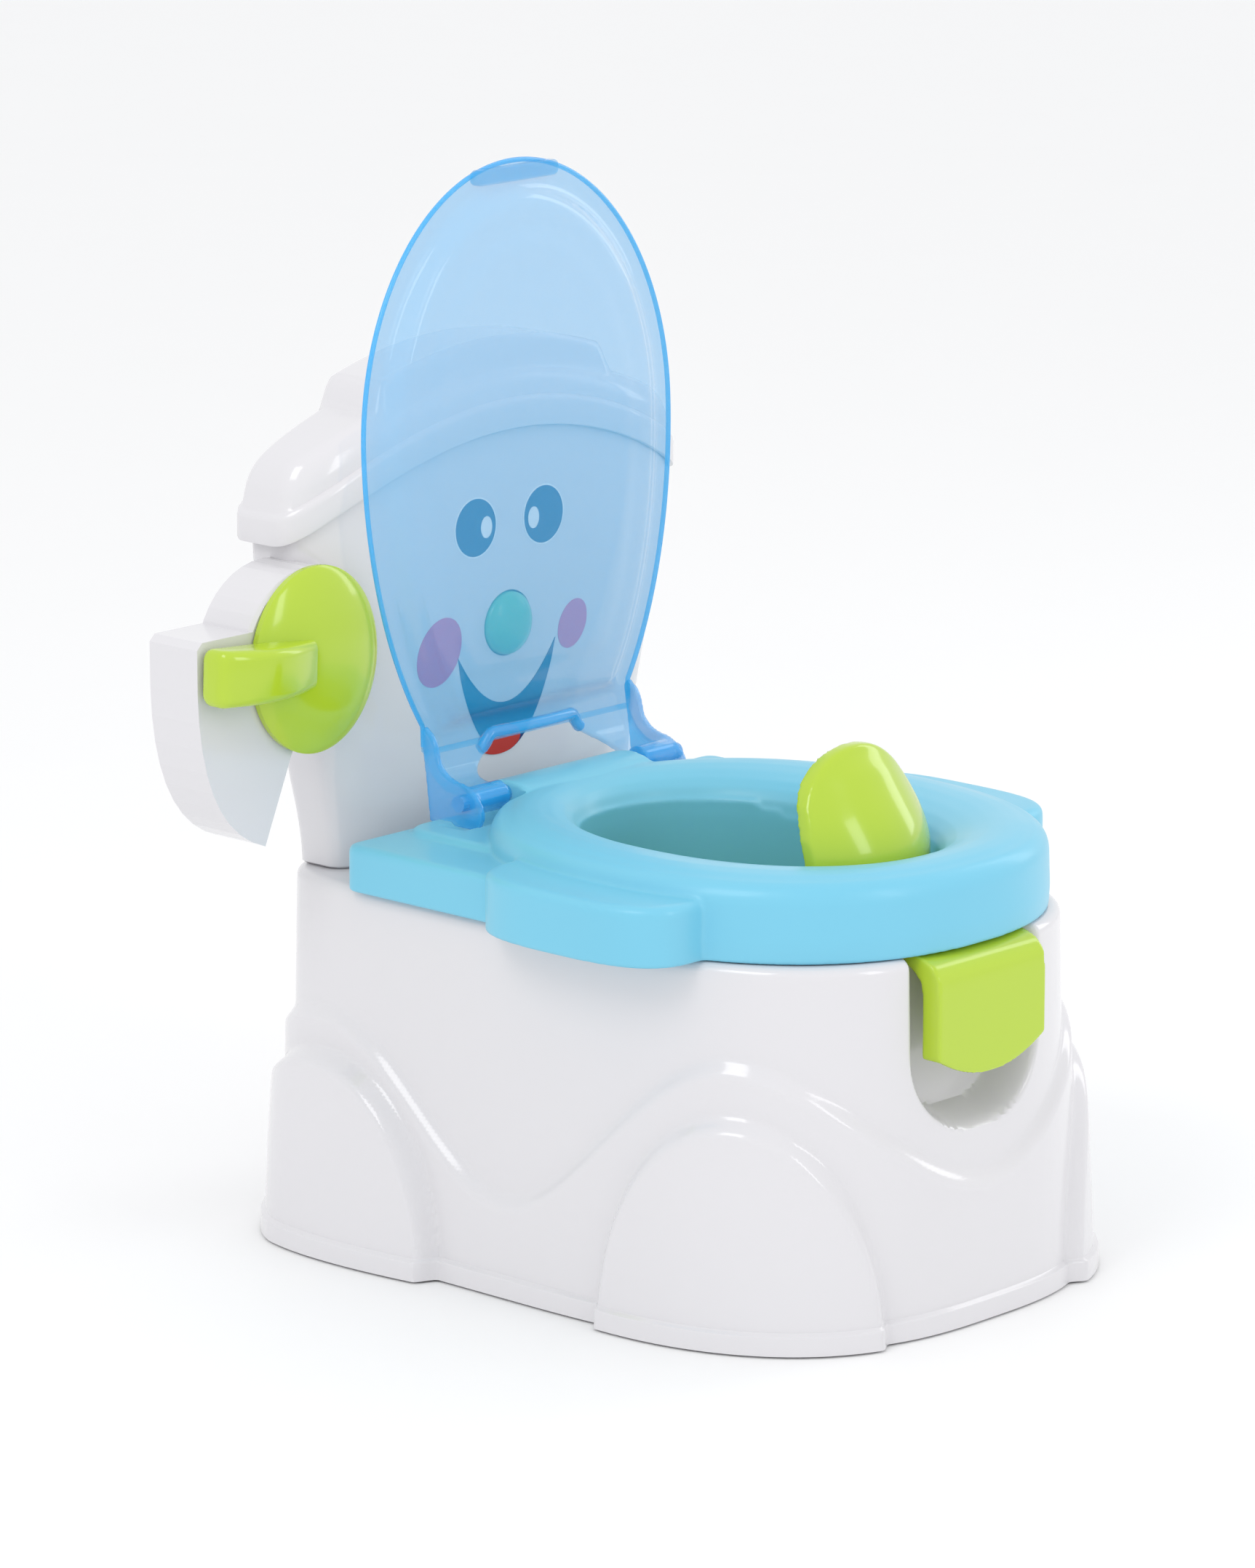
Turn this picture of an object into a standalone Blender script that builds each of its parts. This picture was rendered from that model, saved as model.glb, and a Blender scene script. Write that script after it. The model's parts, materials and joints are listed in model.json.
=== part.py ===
"""Potty training chair, shaped like a small toilet with a smiling cistern.

Every size is in millimetres and becomes metres when a mesh is made. The working frame has X to the
child's left, Y to the rear and Z up, with X = 0 on the plane of symmetry, Y = 0 near the middle of
the seat ring and Z = 0 on the floor. The empty "chair" shifts it all, so that the world origin lies
on the floor under the middle of the whole chair's box.
"""
import math

import bpy
import bmesh
from mathutils import Matrix, Vector

MM = 0.001
GAP = 0.3                 # clearance between pieces that touch
WALL = 3.0                # moulded wall thickness

# Base
BASE_TOP = 163.0
BASE_LIFT = 1.0           # the moulded edge clears the floor, and rubber pads carry the chair
BASE_HALF_W = 112.5       # at the top edge
BASE_FRONT = -130.5
BASE_REAR = 190.0
BASE_MIDDLE = 30.0
BASE_DRAFT = 0.022        # the walls widen downwards
LIP_HEIGHT = 10.0
LIP_STEP = 2.0
LEDGE_STEP = 4.2          # the skirt stands proud of the wall above it
LEDGE_RUN = 10.0
SKIRT_WAVE = ((0.0, 58.0), (0.29, 105.0), (0.51, 42.0), (0.75, 120.0), (1.0, 62.0))
REAR_FOOT = (0.315, 0.125, 96.0, 14.5)    # station, half length, height, bulge
FRONT_FOOT = (0.755, 0.128, 101.0, 8.5)
OPENING = (84.0, -105.0, 92.0, -5.0, 2.4)   # half width, front, rear, middle, squareness
SCOOP_HALF_W = 38.0
SCOOP_BOTTOM = 88.0
SCOOP_BACK = -111.0

# Seat
RING_OUTER = (112.0, -132.0, 108.0, -10.0, 2.25)
RING_HOLE = (60.0, -90.0, 80.0, -5.0, 2.2)
RING_TOP = 199.5
DECK_HALF_W = 118.0
DECK_FRONT, DECK_REAR = 40.0, 129.5
DECK_TOP = 184.0
GRIP_CENTRE = (105.0, -12.0)
GRIP_HALF = (32.0, 54.0)
GRIP_TOP = 193.0
THROAT_BOTTOM = 152.0

# Lid
HINGE_Y, HINGE_Z = 106.0, 196.8
EAR_R = 12.0
PIN_R = 3.7
LEG_OUT, LEG_IN = 74.0, 41.0
LID_Y = 131.4             # rim's middle plane at the lid's foot
LID_LEAN = math.radians(1.85)
LID_FOOT, LID_WAIST, LID_TOP = 213.0, 350.0, 468.0
LID_HALF_W = 97.5
LID_LOWER_REACH = 169.0
LID_THICK = 2.6
PANEL_STEP = 7.0          # the centre panel stands forward of the rim
RIM_BAND = 13.0

# Tank
TANK_MIDDLE = 164.5
TANK_FOOT_Z = BASE_TOP + GAP
TANK_TOP_ARCH = 354.0
TANK_ARCH_DROP = 36.0     # the rim falls this much towards the ends
COVER_HALF_W = 125.0
COVER_FRONT, COVER_REAR, COVER_MIDDLE = 138.4, 190.0, 166.0
COVER_DROP = 38.0         # the cover's edge falls this much towards the ends
CROWN_DROP = 35.0
COVER_EDGE = 348.5        # lower edge of the cover at the middle
RIM_HEIGHT = 14.0
CROWN_RISE = 27.0         # crown of the lower tier above the lower edge
HUMP_RISE = 12.5
HUMP_HALF_W = 74.0

# Flush handle on the tank's right front corner
DIAL_X, DIAL_Y, DIAL_Z = -124.0, 141.5, 265.0
DIAL_R = 40.0
DIAL_DOME = 8.0
DRUM_DEPTH = 29.0
GUARD_TOP = 17.0
GUARD_REACH = 67.5
GUARD_TIP = (-28.5, -78.0)
LEVER_HALF_H = 12.3
LEVER_TILT = math.radians(2.5)

# Nose button and the sound unit behind it
NOSE_Z = 261.0
NOSE_R = 14.3
NOSE_Y = 138.6
NOSE_FLANGE_Y = 148.0

CHAIR_SHIFT = (27.5, -29.75, 0.0)

LIME = (0.56, 0.68, 0.03)
WHITE = (0.86, 0.86, 0.87)
SKY = (0.22, 0.62, 0.83)
CLEAR_BLUE = (0.10, 0.42, 0.90)
GREEN = (0.10, 0.58, 0.32)
STEEL = (0.62, 0.63, 0.65)
RUBBER = (0.16, 0.16, 0.17)

SEGMENTS = 44


# ---------------------------------------------------------------- scene and materials

def clear_scene():
    for item in list(bpy.data.objects):
        bpy.data.objects.remove(item)


def material(name, colour, roughness, metallic=0.0, alpha=1.0):
    made = bpy.data.materials.get(name)
    if made:
        return made
    made = bpy.data.materials.new(name)
    made.use_nodes = True
    shader = made.node_tree.nodes["Principled BSDF"]
    shader.inputs["Base Color"].default_value = (*colour, 1.0)
    shader.inputs["Roughness"].default_value = roughness
    shader.inputs["Metallic"].default_value = metallic
    shader.inputs["Alpha"].default_value = alpha
    return made


def finish_mesh(name, bm):
    """Turns millimetre geometry into a mesh object with outward faces."""
    bmesh.ops.recalc_face_normals(bm, faces=bm.faces)
    bmesh.ops.scale(bm, vec=(MM, MM, MM), verts=bm.verts)
    mesh = bpy.data.meshes.new(name)
    bm.to_mesh(mesh)
    bm.free()
    made = bpy.data.objects.new(name, mesh)
    bpy.context.scene.collection.objects.link(made)
    return made


def boolean(target, other, operation):
    """Adds or cuts another mesh, which is then removed."""
    step = target.modifiers.new("step", "BOOLEAN")
    step.operation = operation
    step.object = other
    step.solver = "EXACT"
    view = bpy.context.evaluated_depsgraph_get()
    result = bpy.data.meshes.new_from_object(target.evaluated_get(view))
    target.modifiers.clear()
    bm = bmesh.new()
    bm.from_mesh(result)
    bmesh.ops.remove_doubles(bm, verts=bm.verts, dist=0.002 * MM)
    bm.to_mesh(result)
    bm.free()
    target.data = result
    bpy.data.objects.remove(other)
    return target


def place(made, look, parent, origin=(0, 0, 0)):
    """Gives a piece its material, its parent and an origin in millimetres."""
    shift = Vector(origin) * MM
    made.data.transform(Matrix.Translation(-shift))
    made.location = shift
    made.parent = parent
    made.data.materials.clear()
    made.data.materials.append(look)
    made.data.shade_smooth()
    made.data.set_sharp_from_angle(angle=math.radians(32))
    return made


# ---------------------------------------------------------------- shapes

def resample(points, count):
    """Spaces points evenly by length along a closed outline."""
    ends = points[1:] + points[:1]
    runs = [(b - a).length for a, b in zip(points, ends)]
    total = sum(runs)
    result, index, passed = [], 0, 0.0
    for step in range(count):
        goal = total * step / count
        while passed + runs[index] < goal:
            passed += runs[index]
            index += 1
        share = (goal - passed) / runs[index]
        result.append(points[index].lerp(ends[index], share))
    return result


def outline(half_width, front, rear, middle, squareness, rear_squareness=None, count=SEGMENTS):
    """A plan outline: a superellipse whose front and rear halves have their own reach and squareness.

    It starts at the middle of the rear and turns towards -X."""
    fine = 720
    points = []
    for step in range(fine):
        turn = math.pi / 2 + 2 * math.pi * step / fine
        across, along = math.cos(turn), math.sin(turn)
        power = squareness if along < 0 else rear_squareness or squareness
        reach = middle - front if along < 0 else rear - middle
        x = half_width * math.copysign(abs(across) ** (2 / power), across)
        y = middle + reach * math.copysign(abs(along) ** (2 / power), along)
        points.append(Vector((x, y, 0)))
    return resample(points, count)


def grown(points, amounts):
    """Moves each point of an outline along its outward normal, by one amount or one for each point."""
    count = len(points)
    if not isinstance(amounts, (list, tuple)):
        amounts = [amounts] * count
    result = []
    for i, point in enumerate(points):
        run = points[(i + 1) % count] - points[i - 1]
        normal = Vector((run.y, -run.x, 0)).normalized()
        result.append(point + normal * amounts[i])
    return result


def at_height(points, z):
    """Lifts an outline to a height, or to one height for each point."""
    heights = z if isinstance(z, (list, tuple)) else [z] * len(points)
    return [Vector((p.x, p.y, h)) for p, h in zip(points, heights)]


def strip_cap(bm, row):
    """Closes a long thin ring with faces across its width, so that it may be arched along its length."""
    count, half = len(row), len(row) // 2
    for i in range(count // 4):
        for side in (1, -1):
            corners = (row[side * i], row[side * (i + 1)], row[half - side * (i + 1)], row[half - side * i])
            bm.faces.new(list(dict.fromkeys(corners)))


def loft(name, rings, wrap=False, arched=False):
    """Skins a stack of equal rings. A wrapped stack closes on itself, any other has ends."""
    bm = bmesh.new()
    rows = [[bm.verts.new(p) for p in ring] for ring in rings]
    pairs = list(zip(rows, rows[1:]))
    if wrap:
        pairs.append((rows[-1], rows[0]))
    for low, high in pairs:
        for i in range(len(low)):
            j = (i + 1) % len(low)
            bm.faces.new((low[i], low[j], high[j], high[i]))
    if arched:
        strip_cap(bm, rows[0])
        strip_cap(bm, rows[-1])
    elif not wrap:
        bm.faces.new(rows[0])
        bm.faces.new(rows[-1])
    return finish_mesh(name, bm)


def prism(name, section, axis, start, stop):
    """Extrudes a flat outline along X, Y or Z. The outline's two numbers are the other two axes in order."""
    def lift(point, value):
        values = list(point)
        values.insert("XYZ".index(axis), value)
        return Vector(values)
    return loft(name, [[lift(p, start) for p in section], [lift(p, stop) for p in section]])


def box(name, low, high, bevel=0.0):
    section = [(low[0], low[1]), (high[0], low[1]), (high[0], high[1]), (low[0], high[1])]
    made = prism(name, section, "Z", low[2], high[2])
    if bevel:
        bm = bmesh.new()
        bm.from_mesh(made.data)
        bmesh.ops.bevel(bm, geom=bm.edges, offset=bevel * MM, segments=2, affect="EDGES")
        bm.to_mesh(made.data)
        bm.free()
    return made


def circle(radius, centre=(0.0, 0.0), count=24):
    return [(centre[0] + radius * math.cos(2 * math.pi * i / count),
             centre[1] + radius * math.sin(2 * math.pi * i / count)) for i in range(count)]


def rod(name, axis, centre, radius, start, stop, count=24):
    """A round bar along X, Y or Z."""
    return prism(name, circle(radius, centre, count), axis, start, stop)


def turned(name, profile, centre, count=32):
    """Turns (radius, y) points about a Y axis through centre = (x, z), from one flat end to the other."""
    rings = []
    for radius, y in profile:
        rings.append([Vector((x, y, z)) for x, z in circle(radius, centre, count)])
    return loft(name, rings)


def bezier(start, control, end, count):
    """Points along a quadratic curve, both ends included."""
    result = []
    for step in range(count + 1):
        t = step / count
        result.append(tuple((1 - t) ** 2 * a + 2 * t * (1 - t) * c + t ** 2 * b
                            for a, c, b in zip(start, control, end)))
    return result


def smooth(share):
    share = min(max(share, 0.0), 1.0)
    return share * share * (3 - 2 * share)


# ---------------------------------------------------------------- base

def station(index, count):
    """How far round the base a point is: 0 at the middle of the rear, 1 at the middle of the front."""
    return 1 - abs(1 - 2 * index / count)


def wave_height(at):
    """Height of the skirt's upper edge, a wave that crests over each foot."""
    for (u0, z0), (u1, z1) in zip(SKIRT_WAVE, SKIRT_WAVE[1:]):
        if at <= u1:
            return z0 + (z1 - z0) * smooth((at - u0) / (u1 - u0))
    return SKIRT_WAVE[-1][1]


def foot_bulge(at, z, foot):
    where, half_length, height, bulge = foot
    reach = ((at - where) / half_length) ** 2 + (z / height) ** 2
    return bulge * (1 - reach ** 1.4) ** 0.6 if reach < 1 else 0.0


def base_offset(at, z):
    """How far the base's outside lies from its top outline."""
    offset = BASE_DRAFT * (BASE_TOP - z)
    offset += LEDGE_STEP * smooth((wave_height(at) - z) / LEDGE_RUN + 0.5)
    offset += foot_bulge(at, z, REAR_FOOT) + foot_bulge(at, z, FRONT_FOOT)
    return offset + (LIP_STEP if z < LIP_HEIGHT else 0.0)


def base_ring(z, inward=0.0):
    top = outline(BASE_HALF_W, BASE_FRONT, BASE_REAR, BASE_MIDDLE, 3.0, 6.5)
    amounts = [base_offset(station(i, SEGMENTS), z) - inward for i in range(SEGMENTS)]
    return at_height(grown(top, amounts), z)


def scoop(name, half_width, bottom, back, front, top):
    """The U-shaped finger recess's body, with a wall slope that follows the base's front."""
    radius = half_width * 0.8
    section = [(half_width, top)]
    for x, z in bezier((half_width, bottom + radius), (half_width, bottom), (half_width - radius, bottom), 5):
        section.append((x, z))
    section += [(-x, z) for x, z in reversed(section)]
    near = [Vector((x, front - BASE_DRAFT * (BASE_TOP - z), z)) for x, z in section]
    far = [Vector((x, back, z)) for x, z in section]
    return loft(name, [near, far])


def pad_places():
    for side in (-1, 1):
        yield Vector((side * 118.0, 138.0, 0)), 19.0
        yield Vector((side * 93.0, -78.0, 0)), 25.0


def tank_screw_places():
    return [(side * 62.0, y) for side in (-1, 1) for y in (156.0, 172.0)]


def build_base(look, parent):
    outside = [base_ring(z) for z in (BASE_LIFT, 9.9, 10.1, 32, 50, 66, 82, 98, 114, 130, 158)]
    plan = outline(BASE_HALF_W, BASE_FRONT, BASE_REAR, BASE_MIDDLE, 3.0, 6.5)
    shoulder = at_height(grown(plan, -3.5), BASE_TOP)
    opening = outline(*OPENING)
    ceiling = BASE_TOP - WALL
    inside = [base_ring(z, WALL) for z in (156, 114, 82, 50, 10.1, BASE_LIFT)]
    inner_top = [Vector((p.x, p.y, ceiling)) for p in grown(inside[0], -2.0)]
    rings = outside + [shoulder, at_height(opening, BASE_TOP), at_height(opening, ceiling), inner_top]
    rings += inside
    base = loft("base_shell", rings, wrap=True)

    pocket = scoop("pocket", SCOOP_HALF_W + WALL, SCOOP_BOTTOM - WALL, SCOOP_BACK + WALL, -127.9,
                   BASE_TOP - 1)
    boolean(base, pocket, "UNION")
    recess = scoop("recess", SCOOP_HALF_W, SCOOP_BOTTOM, SCOOP_BACK, -160.0, BASE_TOP + 8)
    boolean(base, recess, "DIFFERENCE")
    for centre, radius in pad_places():
        plate = rod("plate", "Z", (centre.x, centre.y), radius, 5.0, 8.5, 20)
        boolean(base, plate, "UNION")
    for x, y in tank_screw_places():
        hole = rod("hole", "Z", (x, y), 2.2, ceiling - 2, BASE_TOP + 2, 10)
        boolean(base, hole, "DIFFERENCE")
    place(base, look, parent)


def build_pads(look, parent):
    for number, (centre, _) in enumerate(pad_places(), 1):
        pad = rod(f"foot_pad_{number}", "Z", (centre.x, centre.y), 11.0, 0.0, 5.0 - GAP, 20)
        place(pad, look, parent)


# ---------------------------------------------------------------- bowl

def build_bowl(look, parent):
    front = OPENING[1]

    def ring(grow, z):
        return at_height(grown(outline(*OPENING, count=40), grow), z)

    seat_z = BASE_TOP + GAP
    rings = [ring(4, seat_z), ring(4, seat_z + 2.6), ring(-5.5, seat_z + 2.6), ring(-9, 150),
             ring(-15, 100), ring(-22, 60), ring(-34, 45)]
    under = [ring(-33, 42), ring(-18.5, 57), ring(-12, 100), ring(-6, 150), ring(-2.5, seat_z)]
    bowl = loft("bowl", rings + [ring(-60, 43.4), ring(-60, 40.4)] + under, wrap=True)
    floor = prism("floor", [(p.x, p.y) for p in ring(-55, 0)], "Z", 40.4, 43.4)
    boolean(bowl, floor, "UNION")

    outer = [(front - 3, seat_z + 2.4), (-120.0, 164.6), (-128.0, 162.2), (-134.0, 160.2),
             (-137.0, 157.2), (-138.0, 152.0), (-138.6, 108.0)]
    inner = [(-128.5, 108.0), (-128.5, 150.0), (-126.0, 155.5), (-119.0, 159.5), (-111.4, 160.6),
             (-111.4, 163.4), (front - 3, 163.4)]
    handle = prism("handle", outer + inner, "X", -34.6, 34.6)
    hollow = [(-118.0, 161.4), (-128.0, 159.2), (-133.0, 156.6), (-135.2, 151.0), (-135.6, 100.0),
              (-120.0, 100.0), (-116.0, 150.0), (-111.8, 157.0)]
    boolean(handle, prism("hollow", hollow, "X", -31.8, 31.8), "DIFFERENCE")
    arc = [(x, 108.0 + 11.0 * (x / 34.6) ** 2) for x in (-36, -26, -16, -6, 6, 16, 26, 36)]
    trim = prism("trim", arc + [(36, 90), (-36, 90)], "Y", -150.0, -120.0)
    boolean(handle, trim, "DIFFERENCE")
    boolean(bowl, handle, "UNION")
    place(bowl, look, parent)


# ---------------------------------------------------------------- seat

def ring_section(outer, hole, shape):
    """Rings of the seat: each entry of shape is (share of the way from the outside to the hole, height)."""
    rings = []
    for share, z in shape:
        rings.append([a.lerp(b, share) + Vector((0, 0, z)) for a, b in zip(outer, hole)])
    return rings


def seat_solid(name, inset):
    """The seat's outer form, or with an inset its hollow: ring, deck and side grips in one."""
    outer = grown(outline(*RING_OUTER), -inset)
    hole = grown(outline(*RING_HOLE), inset)
    low = BASE_TOP + GAP - (3.37 if inset else 0)
    shape = [(0.0, low), (0.0, 186.0 - inset), (0.05, 193.0 - inset), (0.16, 198.0 - inset),
             (0.32, RING_TOP - inset), (0.62, 198.0 - inset), (0.88, 193.5 - inset), (1.0, 187.0 - inset),
             (1.0, low)]
    solid = loft(name, ring_section(outer, hole, shape), wrap=True)
    deck = box("deck", (-DECK_HALF_W + inset, DECK_FRONT + 1.5 * inset, low),
               (DECK_HALF_W - inset, DECK_REAR - inset, DECK_TOP - inset), 4.0)
    if inset:
        keep = box("keep", (-120, -20, low - 9), (120, DECK_REAR + 9, low))
        boolean(deck, keep, "DIFFERENCE")
    boolean(solid, deck, "UNION")
    for side in (-1, 1):
        grip_outline = [Vector((side * GRIP_CENTRE[0], 0, 0)) + p for p in
                        outline(GRIP_HALF[0], GRIP_CENTRE[1] - GRIP_HALF[1], GRIP_CENTRE[1] + GRIP_HALF[1],
                                GRIP_CENTRE[1], 3.0, count=28)]
        rings = [at_height(grown(grip_outline, -inset), low),
                 at_height(grown(grip_outline, -inset), GRIP_TOP - 6),
                 at_height(grown(grip_outline, -inset - 2), GRIP_TOP - 1.5 - inset),
                 at_height(grown(grip_outline, -inset - 6), GRIP_TOP - inset)]
        boolean(solid, loft("grip", rings), "UNION")
    through = grown(outline(*RING_HOLE), inset - (0 if inset else 0.02))
    throat = loft("throat", [at_height(through, 120.0), at_height(through, 186.0 if inset else 186.9)])
    boolean(solid, throat, "DIFFERENCE")
    return solid


def build_seat(look, parent, origin):
    seat = seat_solid("seat", 0.0)
    boolean(seat, seat_solid("hollow", WALL), "DIFFERENCE")
    hole = outline(*RING_HOLE)
    spout = loft("spout", [at_height(hole, 180.0), at_height(grown(hole, WALL - 0.5), 180.0),
                           at_height(grown(hole, WALL - 1.0), THROAT_BOTTOM),
                           at_height(grown(hole, -0.5), THROAT_BOTTOM)],
                 wrap=True)
    boolean(seat, spout, "UNION")
    profile = [(94.0, 182.5), (94.0, 198.0), (98.0, 201.6), (112.0, 201.8), (119.0, 198.0), (125.0, 194.0),
               (DECK_REAR - 1, 190.5), (DECK_REAR - 1, 182.5)]
    block = prism("block", profile, "X", -(LEG_IN - 0.6), LEG_IN - 0.6)
    boolean(seat, block, "UNION")
    for side in (-1, 1):
        bore = rod("bore", "X", (HINGE_Y, HINGE_Z), PIN_R + GAP, side * 24.0, side * (LEG_IN + 3), 16)
        boolean(seat, bore, "DIFFERENCE")
        well = rod("well", "X", (HINGE_Y, HINGE_Z), EAR_R + 0.6, side * (LEG_IN - 0.6),
                   side * (LEG_OUT + 0.6), 32)
        boolean(seat, well, "DIFFERENCE")
    place(seat, look, parent, origin)


def build_guard(look, parent, origin):
    """The splash guard: a curved shield that leans back and hooks into the front of the hole."""
    half_width, top, foot, thick = 34.5, 238.0, 158.0, 3.0
    columns = 14
    levels = 9

    def surface(column, level, back):
        across = -1 + 2 * column / columns
        crown = math.sqrt(max(1 - abs(across) ** 2.2, 0.0))
        top_z = 203.0 + (top - 203.0) * crown
        z = foot + (top_z - foot) * level / levels
        width = half_width + 3.0 * smooth((top - z) / 45.0)
        centre = -85.2 + 22.0 * smooth((z - 190.0) / 58.0) * 1.15
        y = centre + 14.0 * across * across
        return Vector((across * width, y + (thick if back else 0.0), z))

    bm = bmesh.new()
    faces = []
    for back in (False, True):
        faces.append([[bm.verts.new(surface(c, k, back)) for c in range(columns + 1)]
                      for k in range(levels + 1)])
    front, rear = faces
    for k in range(levels):
        for c in range(columns):
            bm.faces.new((front[k][c], front[k][c + 1], front[k + 1][c + 1], front[k + 1][c]))
            bm.faces.new((rear[k][c + 1], rear[k][c], rear[k + 1][c], rear[k + 1][c + 1]))
        for c in (0, columns):
            bm.faces.new((front[k][c], rear[k][c], rear[k + 1][c], front[k + 1][c]))
    for k in (0, levels):
        for c in range(columns):
            bm.faces.new((front[k][c], front[k][c + 1], rear[k][c + 1], rear[k][c]))
    place(finish_mesh("splash_guard", bm), look, parent, origin)


# ---------------------------------------------------------------- lid

def lid_outline(inset, count=SEGMENTS):
    """The lid's egg shape as (x, height): an ellipse above the waist, a longer one cut off below."""
    points = []
    half_width = LID_HALF_W - inset
    for step in range(360):
        turn = 2 * math.pi * step / 360
        across, up = math.sin(turn), math.cos(turn)
        reach = LID_TOP - LID_WAIST if up > 0 else LID_LOWER_REACH
        z = LID_WAIST + (reach - inset) * up
        points.append(Vector((half_width * across, max(z, LID_FOOT + inset), 0)))
    return resample(points, count)


def lid_layer(inset, forward):
    """One outline of the lid, forward of its rim's middle plane, with the lid's lean."""
    layer = []
    for p in lid_outline(inset):
        y = LID_Y + (p.y - LID_FOOT) * math.tan(LID_LEAN) - forward
        layer.append(Vector((p.x, y, p.y)))
    return layer


def build_lid(look, parent, origin):
    half = LID_THICK / 2
    step = half + PANEL_STEP
    front = [(LID_HALF_W * 0.62, step + 0.8), (RIM_BAND + 7, step), (RIM_BAND, half),
             (2.5, half + 1.2), (0.0, half + 1.0)]
    back = [(0.0, -half - 0.2)] + [(inset, forward - LID_THICK) for inset, forward in reversed(front[:3])]
    rings = [lid_layer(inset, forward) for inset, forward in front + back]
    lid = loft("lid", rings)

    profile = [(HINGE_Y + EAR_R * math.cos(math.radians(a)), HINGE_Z + EAR_R * math.sin(math.radians(a)))
               for a in range(75, 286, 15)]
    profile += [(HINGE_Y + 19.0, HINGE_Z - EAR_R), (128.5, 205.0), (131.5, 222.0), (LID_Y + 1.0, 232.0),
                (LID_Y - 2.6, 232.0), (126.0, 222.0), (119.5, 212.0)]
    for side in (-1, 1):
        leg = prism("leg", profile, "X", side * LEG_OUT, side * LEG_IN)
        bore = rod("bore", "X", (HINGE_Y, HINGE_Z), PIN_R + GAP, side * (LEG_IN - 5),
                   side * (LEG_OUT - 3), 16)
        boolean(leg, bore, "DIFFERENCE")
        boolean(lid, leg, "UNION")
    lip = box("lip", (-26.5, 127.0, LID_FOOT), (26.5, LID_Y + 0.5, LID_FOOT + 3.0))
    boolean(lid, lip, "UNION")
    tab = [(-26.0, 458.0), (26.0, 458.0), (24.0, 468.0), (-24.0, 468.0)]
    boolean(lid, prism("tab", tab, "Y", LID_Y + 2.4, LID_Y + 9.0), "UNION")
    place(lid, look, parent, origin)


def build_pins(look, parent, origin):
    for side, name in ((-1, "right"), (1, "left")):
        pin = rod(f"lid_pin_{name}", "X", (HINGE_Y, HINGE_Z), PIN_R, side * 24.5, side * (LEG_OUT - 3.5), 16)
        place(pin, look, parent, origin)


# ---------------------------------------------------------------- tank

def tank_ring(z, inward=0.0, lift=None):
    """The tank's plan at a height: it flares from a narrow foot, with a bowed front."""
    rise = smooth((z - 165.0) / 150.0)
    half_width = 95.0 + 25.0 * rise
    front = 146.5 - 5.0 * rise
    rear = 181.0 + 4.4 * smooth((z - 163.0) / 45.0)
    ring = outline(half_width - inward, front + inward, rear - inward, TANK_MIDDLE, 2.8, 12.0)
    return at_height(ring, z if lift is None else lift(ring))


def arch(top, drop, ring):
    """Heights of an arched edge that falls towards both ends of the tank."""
    return [top - drop * (p.x / COVER_HALF_W) ** 2 for p in ring]


def tank_outside(name, grow=0.0):
    """The tank's outside as one solid, used to fit what is fixed to it."""
    heights = (TANK_FOOT_Z - 3, 180, 200, 220, 240, 260, 280, 300, 316)
    return loft(name, [tank_ring(z, -grow) for z in heights])


def build_tank(look, parent):
    heights = [TANK_FOOT_Z, 185, 215, 245, 275, 296]
    arched = [
        tank_ring(330, 0.0, lambda ring: arch(TANK_TOP_ARCH, TANK_ARCH_DROP, ring)),
        tank_ring(330, WALL, lambda ring: arch(TANK_TOP_ARCH, TANK_ARCH_DROP, ring))]
    inner = [tank_ring(z, WALL) for z in (296, 275, 245, 215, 185, TANK_FOOT_Z + WALL)]
    tank = loft("tank_body", [tank_ring(z) for z in heights] + arched + inner)

    for x, y in tank_screw_places():
        boolean(tank, rod("boss", "Z", (x, y), 5.0, TANK_FOOT_Z + 1, 178.0, 14), "UNION")
        boolean(tank, rod("hole", "Z", (x, y), 2.2, TANK_FOOT_Z - 2, 174.0, 10), "DIFFERENCE")
    boolean(tank, rod("nose_hole", "Y", (0.0, NOSE_Z), NOSE_R + 0.5, 130.0, 160.0, 32), "DIFFERENCE")
    doorway = box("doorway", (-33.0, 178.0, 239.0), (33.0, 192.0, 285.0))
    boolean(tank, doorway, "DIFFERENCE")
    for slot in range(5):
        z = 250.0 + 6.0 * slot
        boolean(tank, box("slot", (50.0, 178.0, z), (74.0, 192.0, z + 2.6)), "DIFFERENCE")
    place(tank, look, parent)


def cover_height(x, y, rim_share):
    """Top surface of the cover: an arched crown with rounded edges and a raised middle."""
    fall = (x / COVER_HALF_W) ** 2
    edge = COVER_EDGE + RIM_HEIGHT - COVER_DROP * fall
    crown = COVER_EDGE + CROWN_RISE - CROWN_DROP * fall
    z = edge + (crown - edge) * smooth(min(rim_share * 2.6, 1.0)) ** 0.7
    hump = max(1 - (abs(x) / HUMP_HALF_W) ** 6, 0.0) * max(1 - (abs(y - 168.0) / 20.0) ** 4, 0.0)
    return z + HUMP_RISE * hump ** 0.5


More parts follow.
